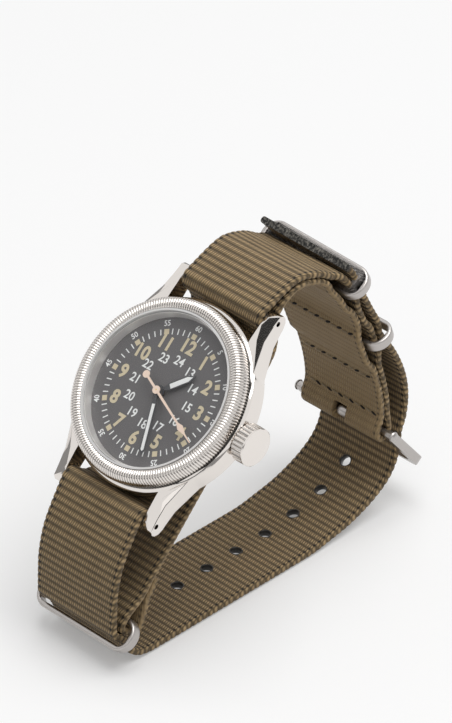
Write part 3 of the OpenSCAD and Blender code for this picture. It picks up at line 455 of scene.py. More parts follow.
def cut_flutes(bm):
    painted_shade = bm.verts.layers.float.new("painted_shade")
    for vert in bm.verts:
        radius = math.hypot(vert.co.x, vert.co.y)
        around = math.atan2(vert.co.y, vert.co.x)
        section = Vector((radius - BEZEL_MID_R, vert.co.z - BEZEL_MID_Z))
        if vert.co.z < FOOT_TOP:
            vert[painted_shade] = FOOT_SHADE
        on_lip = radius < BEZEL_LIP_R + 0.05
        if section.length < FLUTE_IN or vert.co.z < FLUTE_FOOT or on_lip:
            continue
        wave = (0.5 - 0.5 * math.cos(around * FLUTES)) ** 2
        # painted shade: the deeper the flute, the darker its painted shade
        vert[painted_shade] = max(wave, vert[painted_shade])
        inward = section.normalized() * FLUTE_DEPTH * wave
        vert.co.x -= inward.x * math.cos(around)
        vert.co.y -= inward.x * math.sin(around)
        vert.co.z -= inward.y


# painted shade: the colour that flute bottoms and the bezel's foot are darkened toward
PAINTED_SHADE_COLOR = (0.03, 0.028, 0.025)
PAINTED_SHADE_SHARE = 0.5


def fluted_steel():
    f = Finish("fluted_steel", POLISHED_COLOR, 0.16, metallic=1.0)
    painted_shade = f.node("ShaderNodeAttribute", attribute_name="painted_shade").outputs["Fac"]
    fine = f.noise(f.position(), 1400)
    dark = f.math("MULTIPLY", painted_shade, PAINTED_SHADE_SHARE)
    f.link(f.blend(dark, POLISHED_COLOR, PAINTED_SHADE_COLOR), "Base Color")
    f.link(f.between(fine, 0.13, 0.2), "Roughness")
    f.bump(fine, 0.04, GRAIN_DEPTH)
    return f.material


bm = bmesh.new()
turned(bm, bezel_section(), FLUTES * FLUTE_STEPS)
cut_flutes(bm)
bmesh.ops.transform(bm, matrix=HEAD, verts=bm.verts)
fluted = fluted_steel()
bezel = finish_with(make_object("fluted_bezel", bm, "watch"), fluted)
shade_by_angle(bezel, 50)
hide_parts("bezel")
print("bezel faces:", len(bezel.data.polygons))

# %% [markdown]
# ## Crystal edge and crown
# The crystal's thick wall gathers light and shows as a pale ring inside the bezel; that light is
# painted on an opaque pale ring. The crown is turned like the bezel, with fewer and wider flutes,
# and then laid on its side in the case. Its flute bottoms get the same painted shade.

# %% Crystal edge and crown
EDGE_IN_R = 13.45
EDGE_OUT_R = 13.8
EDGE_LOW = 0.4
EDGE_TOP = 2.2
CROWN_R = 3.35
CROWN_FOOT_R = 3.05
CROWN_LEN = 2.7
CROWN_GAP = 0.2
CROWN_HOLLOW_R = 1.75
CROWN_HOLLOW = 1.9
STEM_R = 0.6
STEM_HOLE = 2.5
CROWN_DOME_R = 2.95
CROWN_RISE = 0.45
CROWN_FLUTES = 26
CROWN_FLUTE_DEPTH = 0.2
STEM_DROP = 2.9
CROWN_PLACE = (HEAD @ Matrix.Translation((0, 0, -STEM_DROP)) @ Matrix.Rotation(math.pi / 2, 4, "Y")
               @ Matrix.Translation((0, 0, CASE_R + CROWN_GAP)))


def crown_section():
    dome = [(CROWN_DOME_R * i / 6, CROWN_LEN + CROWN_RISE * (1 - (i / 6) ** 2)) for i in range(7)]
    side = [(CROWN_R - 0.13, CROWN_LEN), (CROWN_R, 2.57), (CROWN_R, 2.4), (CROWN_R, 2.3),
            (CROWN_R, 0.3), (CROWN_FOOT_R, 0)]
    hollow = [(CROWN_HOLLOW_R, 0), (CROWN_HOLLOW_R, CROWN_HOLLOW), (STEM_R, CROWN_HOLLOW),
              (STEM_R, STEM_HOLE), (0, STEM_HOLE)]
    return dome + side + hollow


def cut_crown(bm):
    painted_shade = bm.verts.layers.float.new("painted_shade")
    for vert in bm.verts:
        radius = math.hypot(vert.co.x, vert.co.y)
        if radius < 3 or vert.co.z > 2.35:
            continue
        around = math.atan2(vert.co.y, vert.co.x)
        wave = (0.5 + 0.5 * math.cos(around * CROWN_FLUTES)) ** 1.6
        # painted shade: the crown's flute bottoms are darkened like the bezel's
        vert[painted_shade] = wave
        vert.co.xy = vert.co.xy * (1 - CROWN_FLUTE_DEPTH * wave / radius)


bm = bmesh.new()
turned(bm, [(EDGE_IN_R, EDGE_LOW), (EDGE_OUT_R, EDGE_LOW), (EDGE_OUT_R, EDGE_TOP),
            (EDGE_IN_R, EDGE_TOP)], 240)
bmesh.ops.transform(bm, matrix=HEAD, verts=bm.verts)
# painted light: this opaque pale ring stands in for the light gathered in the crystal's clear wall
crystal_edge = finish_with(make_object("crystal_edge", bm, "watch"),
                           paint("crystal_edge", (0.7, 0.69, 0.68), 0.35, 0.97))
shade_by_angle(crystal_edge)
bm = bmesh.new()
turned(bm, crown_section(), CROWN_FLUTES * 10, closed=False)
cut_crown(bm)
bmesh.ops.transform(bm, matrix=CROWN_PLACE, verts=bm.verts)
crown = finish_with(make_object("fluted_crown", bm, "crown_and_stem"), fluted)
shade_by_angle(crown, 30)
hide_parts("crown")
print("crown faces:", len(crown.data.polygons))

# %% [markdown]
# ## Dial printing
# Numerals are text objects turned into meshes: Blender's own font is plain and bold enough when its
# outline is grown a little. Minute numerals turn with the dial, the two hour rings stand upright.
# The numerals of each ring are joined into one piece of print.

# %% Dial printing
PRINT_H = 0.02
CAPITAL_SHARE = 0.72
NUMERAL_SQUEEZE = 0.93
HOUR_R, HOUR_H = 8.55, 2.35
AFTERNOON_R, AFTERNOON_H = 5.85, 1.55
MINUTE_R, MINUTE_H = 11.95, 0.98
TICK_R, TICK_W, TICK_LENGTH = 10.5, 0.19, 1.0


def text_mesh(words, height, grow):
    curve = bpy.data.curves.new("print", "FONT")
    curve.body = words
    curve.align_x = "CENTER"
    curve.align_y = "CENTER"
    curve.size = height / CAPITAL_SHARE
    curve.offset = grow
    curve.extrude = PRINT_H / 2
    curve.resolution_u = 4
    piece = bpy.data.objects.new("print", curve)
    bpy.context.scene.collection.objects.link(piece)
    bpy.context.view_layer.update()
    mesh = bpy.data.meshes.new_from_object(piece.evaluated_get(
        bpy.context.evaluated_depsgraph_get()))
    bpy.data.objects.remove(piece)
    return mesh


def add_print(bm, mesh, place):
    mesh.transform(place)
    bm.from_mesh(mesh)
    bpy.data.meshes.remove(mesh)


def on_dial(clock_angle, radius, turn=0.0, squeeze=1.0, lift=0.0):
    x = radius * math.sin(clock_angle)
    y = radius * math.cos(clock_angle)
    return (Matrix.Translation((x, y, PRINT_H / 2 + lift)) @ Matrix.Rotation(-turn, 4, "Z")
            @ Matrix.Diagonal((squeeze, 1, 1, 1)))


def print_ring(name, slot, words, radius, height, grow, turned_with_dial=False, lift=0.0):
    bm = bmesh.new()
    for index, word in enumerate(words):
        angle = math.radians(30 * (index + 1))
        turn = angle if turned_with_dial else 0.0
        place = on_dial(angle, radius, turn, NUMERAL_SQUEEZE, lift)
        add_print(bm, text_mesh(word, height, grow), place)
    bmesh.ops.transform(bm, matrix=HEAD, verts=bm.verts)
    finish_with(make_object(name, bm, "watch", smooth=False), FINISHES[slot])


morning = [str(n) for n in range(1, 13)]
afternoon = [str(n) for n in range(13, 25)]
minutes = [str(5 * n) for n in range(1, 13)]
print_ring("hour_outlines", "hand_paint", morning, HOUR_R, HOUR_H, 0.17)
print_ring("hour_numerals", "cream_lume", morning, HOUR_R, HOUR_H, 0.12, lift=PRINT_H)
print_ring("afternoon_numerals", "white_lume", afternoon, AFTERNOON_R, AFTERNOON_H, 0.04)
print_ring("minute_numerals", "white_lume", minutes, MINUTE_R, MINUTE_H, 0.025, True)


def minute_ticks():
    bm = bmesh.new()
    for minute in range(60):
        if minute % 5 == 0:
            continue
        angle = math.radians(6 * minute)
        size = Matrix.Diagonal((TICK_W, TICK_LENGTH, PRINT_H, 1))
        bmesh.ops.create_cube(bm, size=1, matrix=on_dial(angle, TICK_R, angle) @ size)
    bmesh.ops.transform(bm, matrix=HEAD, verts=bm.verts)
    piece = make_object("minute_ticks", bm, "watch", smooth=False)
    finish_with(piece, FINISHES["white_lume"])


minute_ticks()
print("dial printed")

# %% [markdown]
# ## The strap's line
# Seen from the side, the strap is one thin line that wraps the buckle, the spring bars and a
# keeper. The same few points and the same smoothing rule as in the CAD model give that
# line here, so the webbing lies exactly where the CAD solid does.

# %% Curve helpers
STRAP_W = 18
STRAP_T = 1.2
PLAY = 0.05
BAR_PLAY = 0.4
PLY_GAP = 0.1
BAR_D = 1.5
KEEPER_T = 1.0
KEEPER_PITCH = 4.8
KEEPER_BAND = 2.1
PIVOT_R = 0.6
FRAME_ANGLE = -50.3
FRAME_LEN = 11.6
FRAME_H = 1.6
TONGUE_D = 1.1
TONGUE_MID = 5.45
BACK_DEPTH = 7.3
BEHIND_DEPTH = 11.7
SLOT_GAP = 0.8
TAIL_GAP = 0.3
FOLLOW_GAP = 0.2


def left_of(v):
    return Vector((-v.y, v.x))


def polar(centre, radius, degrees):
    a = math.radians(degrees)
    return centre + radius * Vector((math.cos(a), math.sin(a)))


def heading(points, i):
    return (points[min(i + 1, len(points) - 1)] - points[max(i - 1, 0)]).normalized()


def hermite(a, b, u, v, t):
    d = (b - a).length
    return (a * (2 * t**3 - 3 * t**2 + 1) + b * (3 * t**2 - 2 * t**3)
            + u * d * (t**3 - 2 * t**2 + t) + v * d * (t**3 - t**2))


def smooth(points, steps):
    line = []
    for i in range(len(points) - 1):
        for k in range(steps):
            line.append(hermite(points[i], points[i + 1], heading(points, i),
                                heading(points, i + 1), k / steps))
    return line + [points[-1]]


def runs(points):
    total = [0.0]
    for a, b in zip(points, points[1:]):
        total.append(total[-1] + (b - a).length)
    return total


def ease(t):
    u = min(max(t, 0), 1)
    return u * u * (3 - 2 * u)


def plane(points, origin=(0, 0)):
    return [Vector(origin) + Vector(p) for p in points]


# %% Strap line
TILT = math.degrees(HEAD_TILT)
BAR_REACH = CASE_R + 0.25 + STRAP_T + 2 * PLAY + BAR_D / 2
BAR_DROP = 2.4
bar_upper = head_point(BAR_REACH, -BAR_DROP)
bar_lower = head_point(-BAR_REACH, -BAR_DROP)
wrap_r = BAR_D / 2 + 2 * PLAY + STRAP_T / 2

seam_points = plane([(39.6, 17.1), (39.8, 20.4), (39.4, 24), (38.4, 28), (36.9, 32.4), (35.2, 36.6),
                     (33.4, 41.4), (31.4, 45.8), (28.9, 50.1)])
seam_points += plane([(15.47, -0.13), (12.27, 2.07), (9.17, 3.17)], bar_upper)
seam_top = seam_points[9]
SEAM_STEPS = 4
seam = smooth(seam_points, SEAM_STEPS)
seam_run = runs(seam)
middle_at = 5 * SEAM_STEPS
upper_at = 8 * SEAM_STEPS
POCKET_RISE = KEEPER_T / 2 + BAR_PLAY - PLY_GAP / 2
POCKET_END = 6
POCKET_FADE = 3.2
FOLD_FADE = 4
pivot = seam_points[0]
fold_r = PIVOT_R + 3 * PLAY + STRAP_T / 2


def pocket(i, k):
    return POCKET_RISE * ease((POCKET_END - abs(seam_run[i] - seam_run[k])) / POCKET_FADE)


def spread(i):
    return (STRAP_T / 2 + PLY_GAP / 2 + pocket(i, middle_at) + pocket(i, upper_at)
            + (fold_r - STRAP_T / 2 - PLY_GAP / 2) * ease((FOLD_FADE - seam_run[i]) / FOLD_FADE))


def seam_side(i, side):
    return seam[i] - left_of(heading(seam, i)) * side * spread(i)


def tail_at(i):
    return seam[i] - left_of(heading(seam, i)) * (spread(i) + STRAP_T + TAIL_GAP)


WALL_UP = BAR_REACH - wrap_r
LONG_DEPTH = BACK_DEPTH + 2 * PLAY + STRAP_T / 2
CORNER_R = 4.9
corner_top = head_point(WALL_UP - CORNER_R, -LONG_DEPTH + CORNER_R)
corner_foot = head_point(CORNER_R - WALL_UP, -LONG_DEPTH + CORNER_R)
lower_out = polar(Vector((0, 0)), 1, 225)
lower_bar = Vector((-19.8, 7.9))
lower_slot = lower_bar + lower_out * (KEEPER_PITCH - KEEPER_T / 2 - SLOT_GAP - STRAP_T / 2)
tongue_lift = FRAME_H / 2 + TONGUE_D / 2 + PLAY
tongue_angle = FRAME_ANGLE + math.degrees(math.asin(tongue_lift / (FRAME_LEN - FRAME_H / 2)))
tail_cross = polar(pivot, TONGUE_MID, tongue_angle)


def long_line():
    fold_leg = [seam_side(i, -1) for i in range(3 * SEAM_STEPS, 0, -1)]
    fold_turn = [polar(pivot, fold_r, a) for a in range(180, 361, 30)]
    sewn_leg = [seam_side(i, 1) for i in range(1, len(seam) - 1)]
    over_top = plane([(7.17, 4.07), (4.57, 3.47)], bar_upper)
    wrap_upper = [polar(bar_upper, wrap_r, a + TILT) for a in range(75, 176, 25)]
    behind = [polar(corner_top, CORNER_R, -22.5 * k + TILT) for k in range(5)]
    behind += [polar(corner_foot, CORNER_R, -90 - 22.5 * k + TILT) for k in range(5)]
    wrap_lower = [polar(bar_lower, wrap_r, a + TILT) for a in range(5, 106, 25)]
    bulge = plane([(-4.19, -4.2), (-5.39, -6.7), (-6.19, -9.4)], bar_lower)
    bulge += plane([(-4, 7.1), (-4.1, 4.6), (-4.15, 1.9), (-3.95, -0.3)], lower_bar)
    to_ground = [lower_slot] + plane([(-20.35, 3), (-18.3, 1.3), (-15.8, 0.67)])
    flat = plane([(-13.4, STRAP_T / 2), (20, STRAP_T / 2)])
    to_buckle = plane([(23.5, 0.75), (27.2, 1.35), (31, 2.05), (34.8, 3.25), (38.3, 4.9), (41, 6.9),
                       (42.6, 9.2), (43.25, 11.3)])
    tail = [tail_cross] + plane([(43.7, 15.1), (44.6, 17.6), (45, 20.4), (44.9, 23), (44.4, 25.6),
                                 (43.5, 28.2), (42.3, 30.8), (40.8, 33.4)]) + [tail_at(middle_at)]
    tail += plane([(37.3, 40.3), (35.6, 43.4), (33.7, 47)]) + [tail_at(upper_at)]
    tail += plane([(4, 0.6), (2.4, 2.5)], seam_top)
    steps = 3
    rounding = [seam_side(len(seam) - 1, 1)] + over_top + wrap_upper + behind + wrap_lower
    before = fold_leg + fold_turn + sewn_leg + smooth(rounding + bulge + to_ground + flat, steps)
    after = smooth(flat + to_buckle + tail, steps)
    line = before[:len(before) - steps] + after[steps:]
    return line, runs(before)[len(before) - 1 - steps]


def short_line():
    leg = [seam_side(i, -1) for i in range(3 * SEAM_STEPS + 1, len(seam) - 1)]
    turn = plane([(6.77, 2.42), (4.57, 1.47), (3.07, 0.27), (2.07, -1.03)], bar_upper)
    corner = [polar(corner_top, CORNER_R + STRAP_T + FOLLOW_GAP, -26 - 16 * k + TILT)
              for k in range(4)]
    behind = [head_point(up, out - BEHIND_DEPTH)
              for up, out in ((7, 1.65), (0, 1.05), (-7, 0.35), (-13, 0))]
    axis = Vector((-0.6, -0.8)).normalized()
    fold_long = KEEPER_T / 2 + BAR_PLAY + STRAP_T / 2
    fold_wide = KEEPER_BAND / 2 + STRAP_W / 2 * math.sin(math.radians(2)) + 0.24 + STRAP_T / 2
    fold_corner = 0.9
    ply = STRAP_T / 2 + PLY_GAP / 2
    half = plane([(8.4, ply), (6.2, ply + 0.04), (4.4, ply + 0.3), (1, fold_wide - 0.1)])
    half += [polar(Vector((fold_corner - fold_long, fold_wide - fold_corner)), fold_corner, 90 + a)
             for a in (0, 30, 60, 90)]
    there = [lower_bar - axis * p.x - left_of(axis) * p.y for p in half]
    back = [lower_bar - axis * p.x + left_of(axis) * p.y for p in reversed(half)]
    return leg + smooth([seam_side(len(seam) - 1, -1)] + turn + corner + behind + there + back, 3)


LONG_LINE, FLAT_RUN = long_line()
SHORT_LINE = short_line()
print("long strap:", round(runs(LONG_LINE)[-1], 1), "mm, short strap:",
      round(runs(SHORT_LINE)[-1], 1), "mm")

# %% [markdown]
# ## Weaving the webbing
# Webbing is a flat ribbon with ribs across it. The easiest way to model it is the way it is made:
# a straight ribbon with a rounded section is drawn out along its length, holes are punched in it
# while it is flat, and only then is every vertex carried round the strap's line. A vertex keeps
# its flat place as an attribute, which the woven material reads later.

# %% Webbing
RIB_PITCH = 1.24
RIB_STEPS = 7
RIB_H = 0.13
CORE_T = STRAP_T - 2 * RIB_H
MEETING = 0.56  # the ribbon starts this far before the first point of its line
ROUND_X = 8.2
EDGE_SHARE = 0.6
CALM_FLATNESS = 0.6
MELT_RUN = 1.3
SLANT_RUN = 12
SEWN_CALM = 20
CALM_FADE = 3


class Line:
    """A path that can be read at any distance along it."""

    def __init__(self, points):
        self.points = points
        self.runs = runs(points)
        self.length = self.runs[-1]

    def at(self, distance):
        s = min(max(distance, 0.0), self.length)
        high = min(max(bisect_right(self.runs, s), 1), len(self.points) - 1)
        low = high - 1
        t = (s - self.runs[low]) / (self.runs[high] - self.runs[low])
        u, v = heading(self.points, low), heading(self.points, high)
        spot = hermite(self.points[low], self.points[high], u, v, t)
        along = u.lerp(v, t).normalized()
        return spot + along * (distance - s), along


def flat_ribbon(length):
    bm = bmesh.new()
    bmesh.ops.create_grid(bm, x_segments=1, y_segments=1, size=0.5)
    bmesh.ops.scale(bm, vec=(STRAP_W - 2 * RIB_H, CORE_T, 1), verts=bm.verts)
    bmesh.ops.bevel(bm, geom=bm.verts, offset=CORE_T * 0.45, segments=3, profile=0.5,
                    affect="VERTICES", material=-1)
    long_edges = [e for e in bm.edges if e.calc_length() > STRAP_W / 2]
    bmesh.ops.subdivide_edges(bm, edges=long_edges, cuts=11)
    bmesh.ops.rotate(bm, cent=(0, 0, 0), matrix=Matrix.Rotation(math.pi / 2, 3, "X"),
                     verts=bm.verts)
    bmesh.ops.translate(bm, vec=(0, -MEETING, 0), verts=bm.verts)
    steps = round((length + MEETING) / RIB_PITCH * RIB_STEPS)
    drawn = bmesh.ops.extrude_face_region(bm, geom=bm.faces[:], use_keep_orig=True)["geom"]
    bmesh.ops.translate(bm, vec=(0, steps * RIB_PITCH / RIB_STEPS, 0),
                        verts=[v for v in drawn if isinstance(v, bmesh.types.BMVert)])
    sides = [e for e in bm.edges if e.calc_length() > STRAP_W]
    bmesh.ops.subdivide_edges(bm, edges=sides, cuts=steps - 1)
    bmesh.ops.recalc_face_normals(bm, faces=bm.faces)
    return bm


def punched(bm, cutters):
    ribbon = bpy.data.objects.new("flat_ribbon", bpy.data.meshes.new("flat_ribbon"))
    bm.to_mesh(ribbon.data)
    bm.free()
    punch = bpy.data.objects.new("punch", bpy.data.meshes.new("punch"))
    cutters.to_mesh(punch.data)
    cutters.free()
    for piece in (ribbon, punch):
        bpy.context.scene.collection.objects.link(piece)
    cut = ribbon.modifiers.new("holes", "BOOLEAN")
    cut.operation = "DIFFERENCE"
    cut.solver = "MANIFOLD"
    cut.object = punch
    bpy.context.view_layer.update()
    mesh = bpy.data.meshes.new_from_object(ribbon.evaluated_get(
        bpy.context.evaluated_depsgraph_get()))
    result = bmesh.new()
    result.from_mesh(mesh)
    bpy.data.objects.remove(ribbon)
    bpy.data.objects.remove(punch)
    return result


def rib(row):
    return math.sqrt(max(0.0, 1 - (2 * (row % 1) - 1) ** 2))


def wrap(bm, line, calm=None, slant=0.0, ribbed=True):
    cloth = bm.verts.layers.float_vector.new("cloth")
    plain = bm.verts.layers.float.new("plain")
    melt = bm.verts.layers.float.new("melt")
    for vert in bm.verts:
        x, s, h = vert.co
        row = (s + MEETING) / RIB_PITCH
        vert[cloth] = (x, row, h)
        vert[plain] = calm(s, h) if calm else 0.0
        vert[melt] = ease(s - line.length + MELT_RUN) if slant else 0.0
        relief = (1 - rib(row)) * (1 - CALM_FLATNESS * vert[plain])
        height = RIB_H * (1 - relief) if ribbed else 0.0
        h += math.copysign(height, h) * min(1, abs(h) / (CORE_T * 0.3))
        x += math.copysign(height, x) * ease((abs(x) - ROUND_X) / 0.6) * EDGE_SHARE
        s += slant * x * ease((s - line.length + SLANT_RUN) / SLANT_RUN)
        spot, along = line.at(s)
        spot = spot + left_of(along) * h
        vert.co = (x, spot.x, spot.y)


def long_calm(s, h):
    return ease((SEWN_CALM - s) / CALM_FADE) if h < 0 else 0.0


def short_calm(s, h):
    return 1.0 if h > 0 else 0.0


PUNCH_LEN = 6
HOLE_D = 2.0
FIRST_HOLE = 12.7
HOLE_PITCH = 7
HOLES = 7
SLOT_W = 3
SLOT_RISE = 2.2
SLOT_SEARCH = 45
TAIL_SLANT = -0.18


def punch_round(bm, s, lean=0.0):
    place = Matrix.Translation((0, s, 0)) @ Matrix.Rotation(lean, 4, "X")
    bmesh.ops.create_cone(bm, cap_ends=True, segments=32, radius1=HOLE_D / 2, radius2=HOLE_D / 2,
                          depth=PUNCH_LEN, matrix=place)


def punch_slot(bm, start, end):
    size = Matrix.Diagonal((SLOT_W, end - start, PUNCH_LEN, 1))
    bmesh.ops.create_cube(bm, size=1, matrix=Matrix.Translation((0, (start + end) / 2, 0)) @ size)


long_strap = Line(LONG_LINE)
short_strap = Line(SHORT_LINE)
hole_runs = [FLAT_RUN + FIRST_HOLE + HOLE_PITCH * k for k in range(HOLES)]
steps_along = [long_strap.length * k / 2000 for k in range(2001)]
tongue_run = min(steps_along, key=lambda s: (long_strap.at(s)[0] - tail_cross).length)
in_slot = [s for s in steps_along
           if s < SLOT_SEARCH and long_strap.at(s)[0].y < pivot.y + SLOT_RISE]
tail_heading = long_strap.at(tongue_run)[1]
tongue_way = polar(Vector((0, 0)), 1, tongue_angle)
tongue_lean = math.acos(abs(left_of(tail_heading).dot(tongue_way)))
print("holes", [round(s, 1) for s in hole_runs], "tongue", round(tongue_run, 1), "lean",
      round(math.degrees(tongue_lean), 1), "slot", round(in_slot[0], 1), round(in_slot[-1], 1))

cutters = bmesh.new()
for s in hole_runs:
    punch_round(cutters, s)
punch_round(cutters, tongue_run, -tongue_lean)
punch_slot(cutters, in_slot[0], in_slot[-1])
bm = punched(flat_ribbon(long_strap.length), cutters)
wrap(bm, long_strap, long_calm, TAIL_SLANT)
long_webbing = make_object("strap_long_webbing", bm, "watch")
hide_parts("strap_long")
bm = flat_ribbon(short_strap.length)
wrap(bm, short_strap, short_calm)
short_webbing = make_object("strap_short_webbing", bm, "watch")
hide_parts("strap_short")
print("webbing faces:", len(long_webbing.data.polygons), len(short_webbing.data.polygons))

# %% [markdown]
# ## Woven material
# The weave is drawn from the attribute that the webbing kept. Across the strap the threads show as
# short slanted dashes, one row to a rib, and painted shade darkens the valleys between ribs. Inner
# faces are calmer, dark dots of painted shade run along both edges, noise stands in for single
# fibres, and the melted end is black.

# %% Weave
CLOTH_DARK = (0.014, 0.010, 0.005)
CLOTH_LIGHT = (0.535, 0.375, 0.192)
MELT_DARK = (0.008, 0.008, 0.007)
MELT_LIGHT = (0.24, 0.225, 0.2)
SELVAGE_X = 8.25
DASH = 0.45
DASH_LEAN = 0.7
ROW_SHIFT = 0.37
DASH_POWER = 1.1
TWIN_DEPTH = 0.12
# painted shade: the valleys between ribs keep only this share of the cloth's light colour
VALLEY_SHADE = 0.03
VALLEY_POWER = 2.0
CALM_SHADE = 0.28
CALM_DEPTH = 0.17
DOT_DEPTH = 0.6
THREAD_SHARE, FUZZ_SHARE, BROAD_SHARE = 0.8, 0.18, 0.12


def mixed(f, factor, a, b):
    """One value where the factor is 0, the other where it is 1."""
    return f.math("ADD", f.math("MULTIPLY", a, f.math("SUBTRACT", 1.0, factor)),
                  f.math("MULTIPLY", b, factor))


def webbing_material():
    f = Finish("woven_webbing", CLOTH_LIGHT, 0.85)
    cloth = f.node("ShaderNodeAttribute", attribute_name="cloth").outputs["Vector"]
    plain = f.node("ShaderNodeAttribute", attribute_name="plain").outputs["Fac"]
    melt = f.node("ShaderNodeAttribute", attribute_name="melt").outputs["Fac"]
    across, row, _ = f.node("ShaderNodeSeparateXYZ", {0: cloth}).outputs
    in_row = f.math("FRACT", row)
    lean = f.math("ADD", f.math("MULTIPLY", in_row, DASH_LEAN),
                  f.math("MULTIPLY", f.math("FLOOR", row), ROW_SHIFT))
    thread = f.math("ADD", f.math("DIVIDE", across, DASH), lean)
    twin = f.math("SINE", f.math("MULTIPLY", thread, math.pi))
    dash = f.math("ABSOLUTE", twin)
    # painted shade: ridge is 1 on a rib's crest and 0 in the valley, where it darkens the colour
    ridge = f.math("SINE", f.math("MULTIPLY", in_row, math.pi))
    crest = f.math("MULTIPLY", f.math("POWER", ridge, VALLEY_POWER), 1 - VALLEY_SHADE)
    bold = f.math("MULTIPLY", f.math("POWER", dash, DASH_POWER),
                  f.math("ADD", VALLEY_SHADE, crest))
    bold = f.math("MULTIPLY", bold,
                  f.math("ADD", 1 - TWIN_DEPTH, f.math("MULTIPLY", twin, TWIN_DEPTH)))
    calm = f.math("ADD", CALM_SHADE,
                  f.math("MULTIPLY", f.math("ADD", dash, ridge), CALM_DEPTH))
    # painted shade: dark dots in the valleys near both edges, where the edge pits are
    edge = f.math("ABSOLUTE", f.math("SUBTRACT", f.math("ABSOLUTE", across), SELVAGE_X))
    near_edge = f.between(edge, 1.0, -2.4)
    dots = f.math("MULTIPLY", f.math("MAXIMUM", near_edge, 0.0),
                  f.math("POWER", f.math("SUBTRACT", 1.0, ridge), 0.7))
    height = f.math("SUBTRACT", mixed(f, plain, bold, calm),
                    f.math("MULTIPLY", dots, DOT_DEPTH))
    fuzz = f.noise(cloth, 7, 6)
    broad = f.noise(cloth, 0.4, 2)
    shade = f.math("ADD", f.math("MULTIPLY", height, THREAD_SHARE),
                   f.math("MULTIPLY", fuzz, FUZZ_SHARE))
    shade = f.math("ADD", shade, f.math("MULTIPLY", broad, BROAD_SHARE))
    woven = f.blend(shade, CLOTH_DARK, CLOTH_LIGHT)
    burnt = f.blend(f.between(f.noise(cloth, 2.6, 5), -1.6, 2.1), MELT_DARK, MELT_LIGHT)
    f.link(f.blend(melt, woven, burnt), "Base Color")
    f.link(f.between(fuzz, 0.5, 0.75), "Roughness")
    f.set("Sheen Weight", 0.04)
    f.set("Sheen Roughness", 0.5)
    f.set("Specular IOR Level", 0.35)
    f.bump(f.math("ADD", dash, f.math("MULTIPLY", fuzz, 0.6)), 0.8, 0.00015)
    return f.material


weave = webbing_material()
for webbing in (long_webbing, short_webbing):
    shade_by_angle(finish_with(webbing, weave), 80)
print("webbing woven: a rib every", RIB_PITCH, "mm, a thread every", DASH, "mm")

# %% [markdown]
# ## Hole rims
# The holes are melted through with a hot punch, which leaves a hard dark rim on both faces. Each
# rim is a small ring: a thin upright outline spun round the hole while the strap is flat.


# %% Hole rims
RIM_W = 0.2
RIM_RISE = 0.07
RIM_GAP = 0.08


def rim_bmesh(s):
    bm = bmesh.new()
    bmesh.ops.create_circle(bm, cap_ends=False, segments=10, radius=1)
    bmesh.ops.scale(bm, vec=(RIM_W, STRAP_T / 2 + RIM_RISE, 1), verts=bm.verts)
    bmesh.ops.rotate(bm, cent=(0, 0, 0), matrix=Matrix.Rotation(math.pi / 2, 3, "X"),
                     verts=bm.verts)
    bmesh.ops.translate(bm, vec=(HOLE_D / 2 + RIM_GAP, 0, 0), verts=bm.verts)
    bmesh.ops.spin(bm, geom=bm.verts[:] + bm.edges[:], cent=(0, 0, 0), axis=(0, 0, 1),
                   angle=2 * math.pi, steps=36, use_merge=True, use_duplicate=False)
    bmesh.ops.recalc_face_normals(bm, faces=bm.faces)
    bmesh.ops.translate(bm, vec=(0, s, 0), verts=bm.verts)
    return bm


def joined(parts):
    whole = bmesh.new()
    for part in parts:
        mesh = bpy.data.meshes.new("part")
        part.to_mesh(mesh)
        part.free()
        whole.from_mesh(mesh)
        bpy.data.meshes.remove(mesh)
    return whole


bm = joined([rim_bmesh(s) for s in hole_runs])
wrap(bm, long_strap, ribbed=False)
melted = paint("melted_rim", (0.035, 0.031, 0.026), 0.35, 0.5, 900, 0.5)
finish_with(make_object("hole_rims", bm, "watch"), melted)
print("hole rims:", len(hole_runs))

# %% [markdown]
# ## Stitching
# Short thick stitches hold the two layers together in rows across the strap. Each stitch is a small
# stretched ball, half sunk in the cloth, with a dark pit at its end where the needle went in. The
# pit is a second, dark ball: painted shade for the needle hole.

# %% Stitches
STITCHES = 6
ROW_HALF_W = 7.7
THREAD_D = 0.46
THREAD_FACE = 0.58
PIT_D = 0.5
PIT_FACE = 0.6


def stitch(bm, x, s, h, turn, length, width):
    place = (Matrix.Translation((x, s, h)) @ Matrix.Rotation(turn, 4, "Z")
             @ Matrix.Diagonal((length / 2, width / 2, 0.2, 1)))
    bmesh.ops.create_uvsphere(bm, u_segments=8, v_segments=6, radius=1, matrix=place)


def sew(name, line, rows):
    threads, pits = bmesh.new(), bmesh.new()
    pitch = 2 * ROW_HALF_W / STITCHES
    for s, face in rows:
        for k in range(STITCHES):
            x = -ROW_HALF_W + pitch * (k + 0.5)
            stitch(threads, x - 0.3, s, face * THREAD_FACE, 0.2, pitch * 0.55, THREAD_D)
            stitch(pits, x + pitch * 0.36, s + 0.1, face * PIT_FACE, 0.35, pitch * 0.5, PIT_D)
    for bm, kind, material in ((threads, "_threads", thread_material),
                               (pits, "_pits", pit_shade_material)):
        wrap(bm, line, ribbed=False)
        finish_with(make_object(name + kind, bm, "watch"), material)


thread_material = paint("sewing_thread", (0.3, 0.235, 0.145), 0.7, 0.6, 5000, 0.6)
# painted shade: a dark ball stands in for the shade inside each needle hole
pit_shade_material = paint("needle_hole_shade", (0.014, 0.011, 0.008), 0.9, 0.7)
sew("short_rows", short_strap, [(12.0, 1), (0.2, 1)])
sew("long_row", long_strap, [(7.2, -1)])
print("stitches sewn")

# %% [markdown]
# ## Floor and light
# The watch stands on a white sweep under very soft light. The floor is a large pale sheet that
# keeps the shadow. A camera or a polished face sees the floor and the world as nearly white, but
# the light that they and two large lamps give the watch is plain, so that colours render about as
# they are written. Polish only looks like metal with something dark to mirror, so three darker
# cards stand above, round the camera and along the horizon, where only glossy rays meet them.

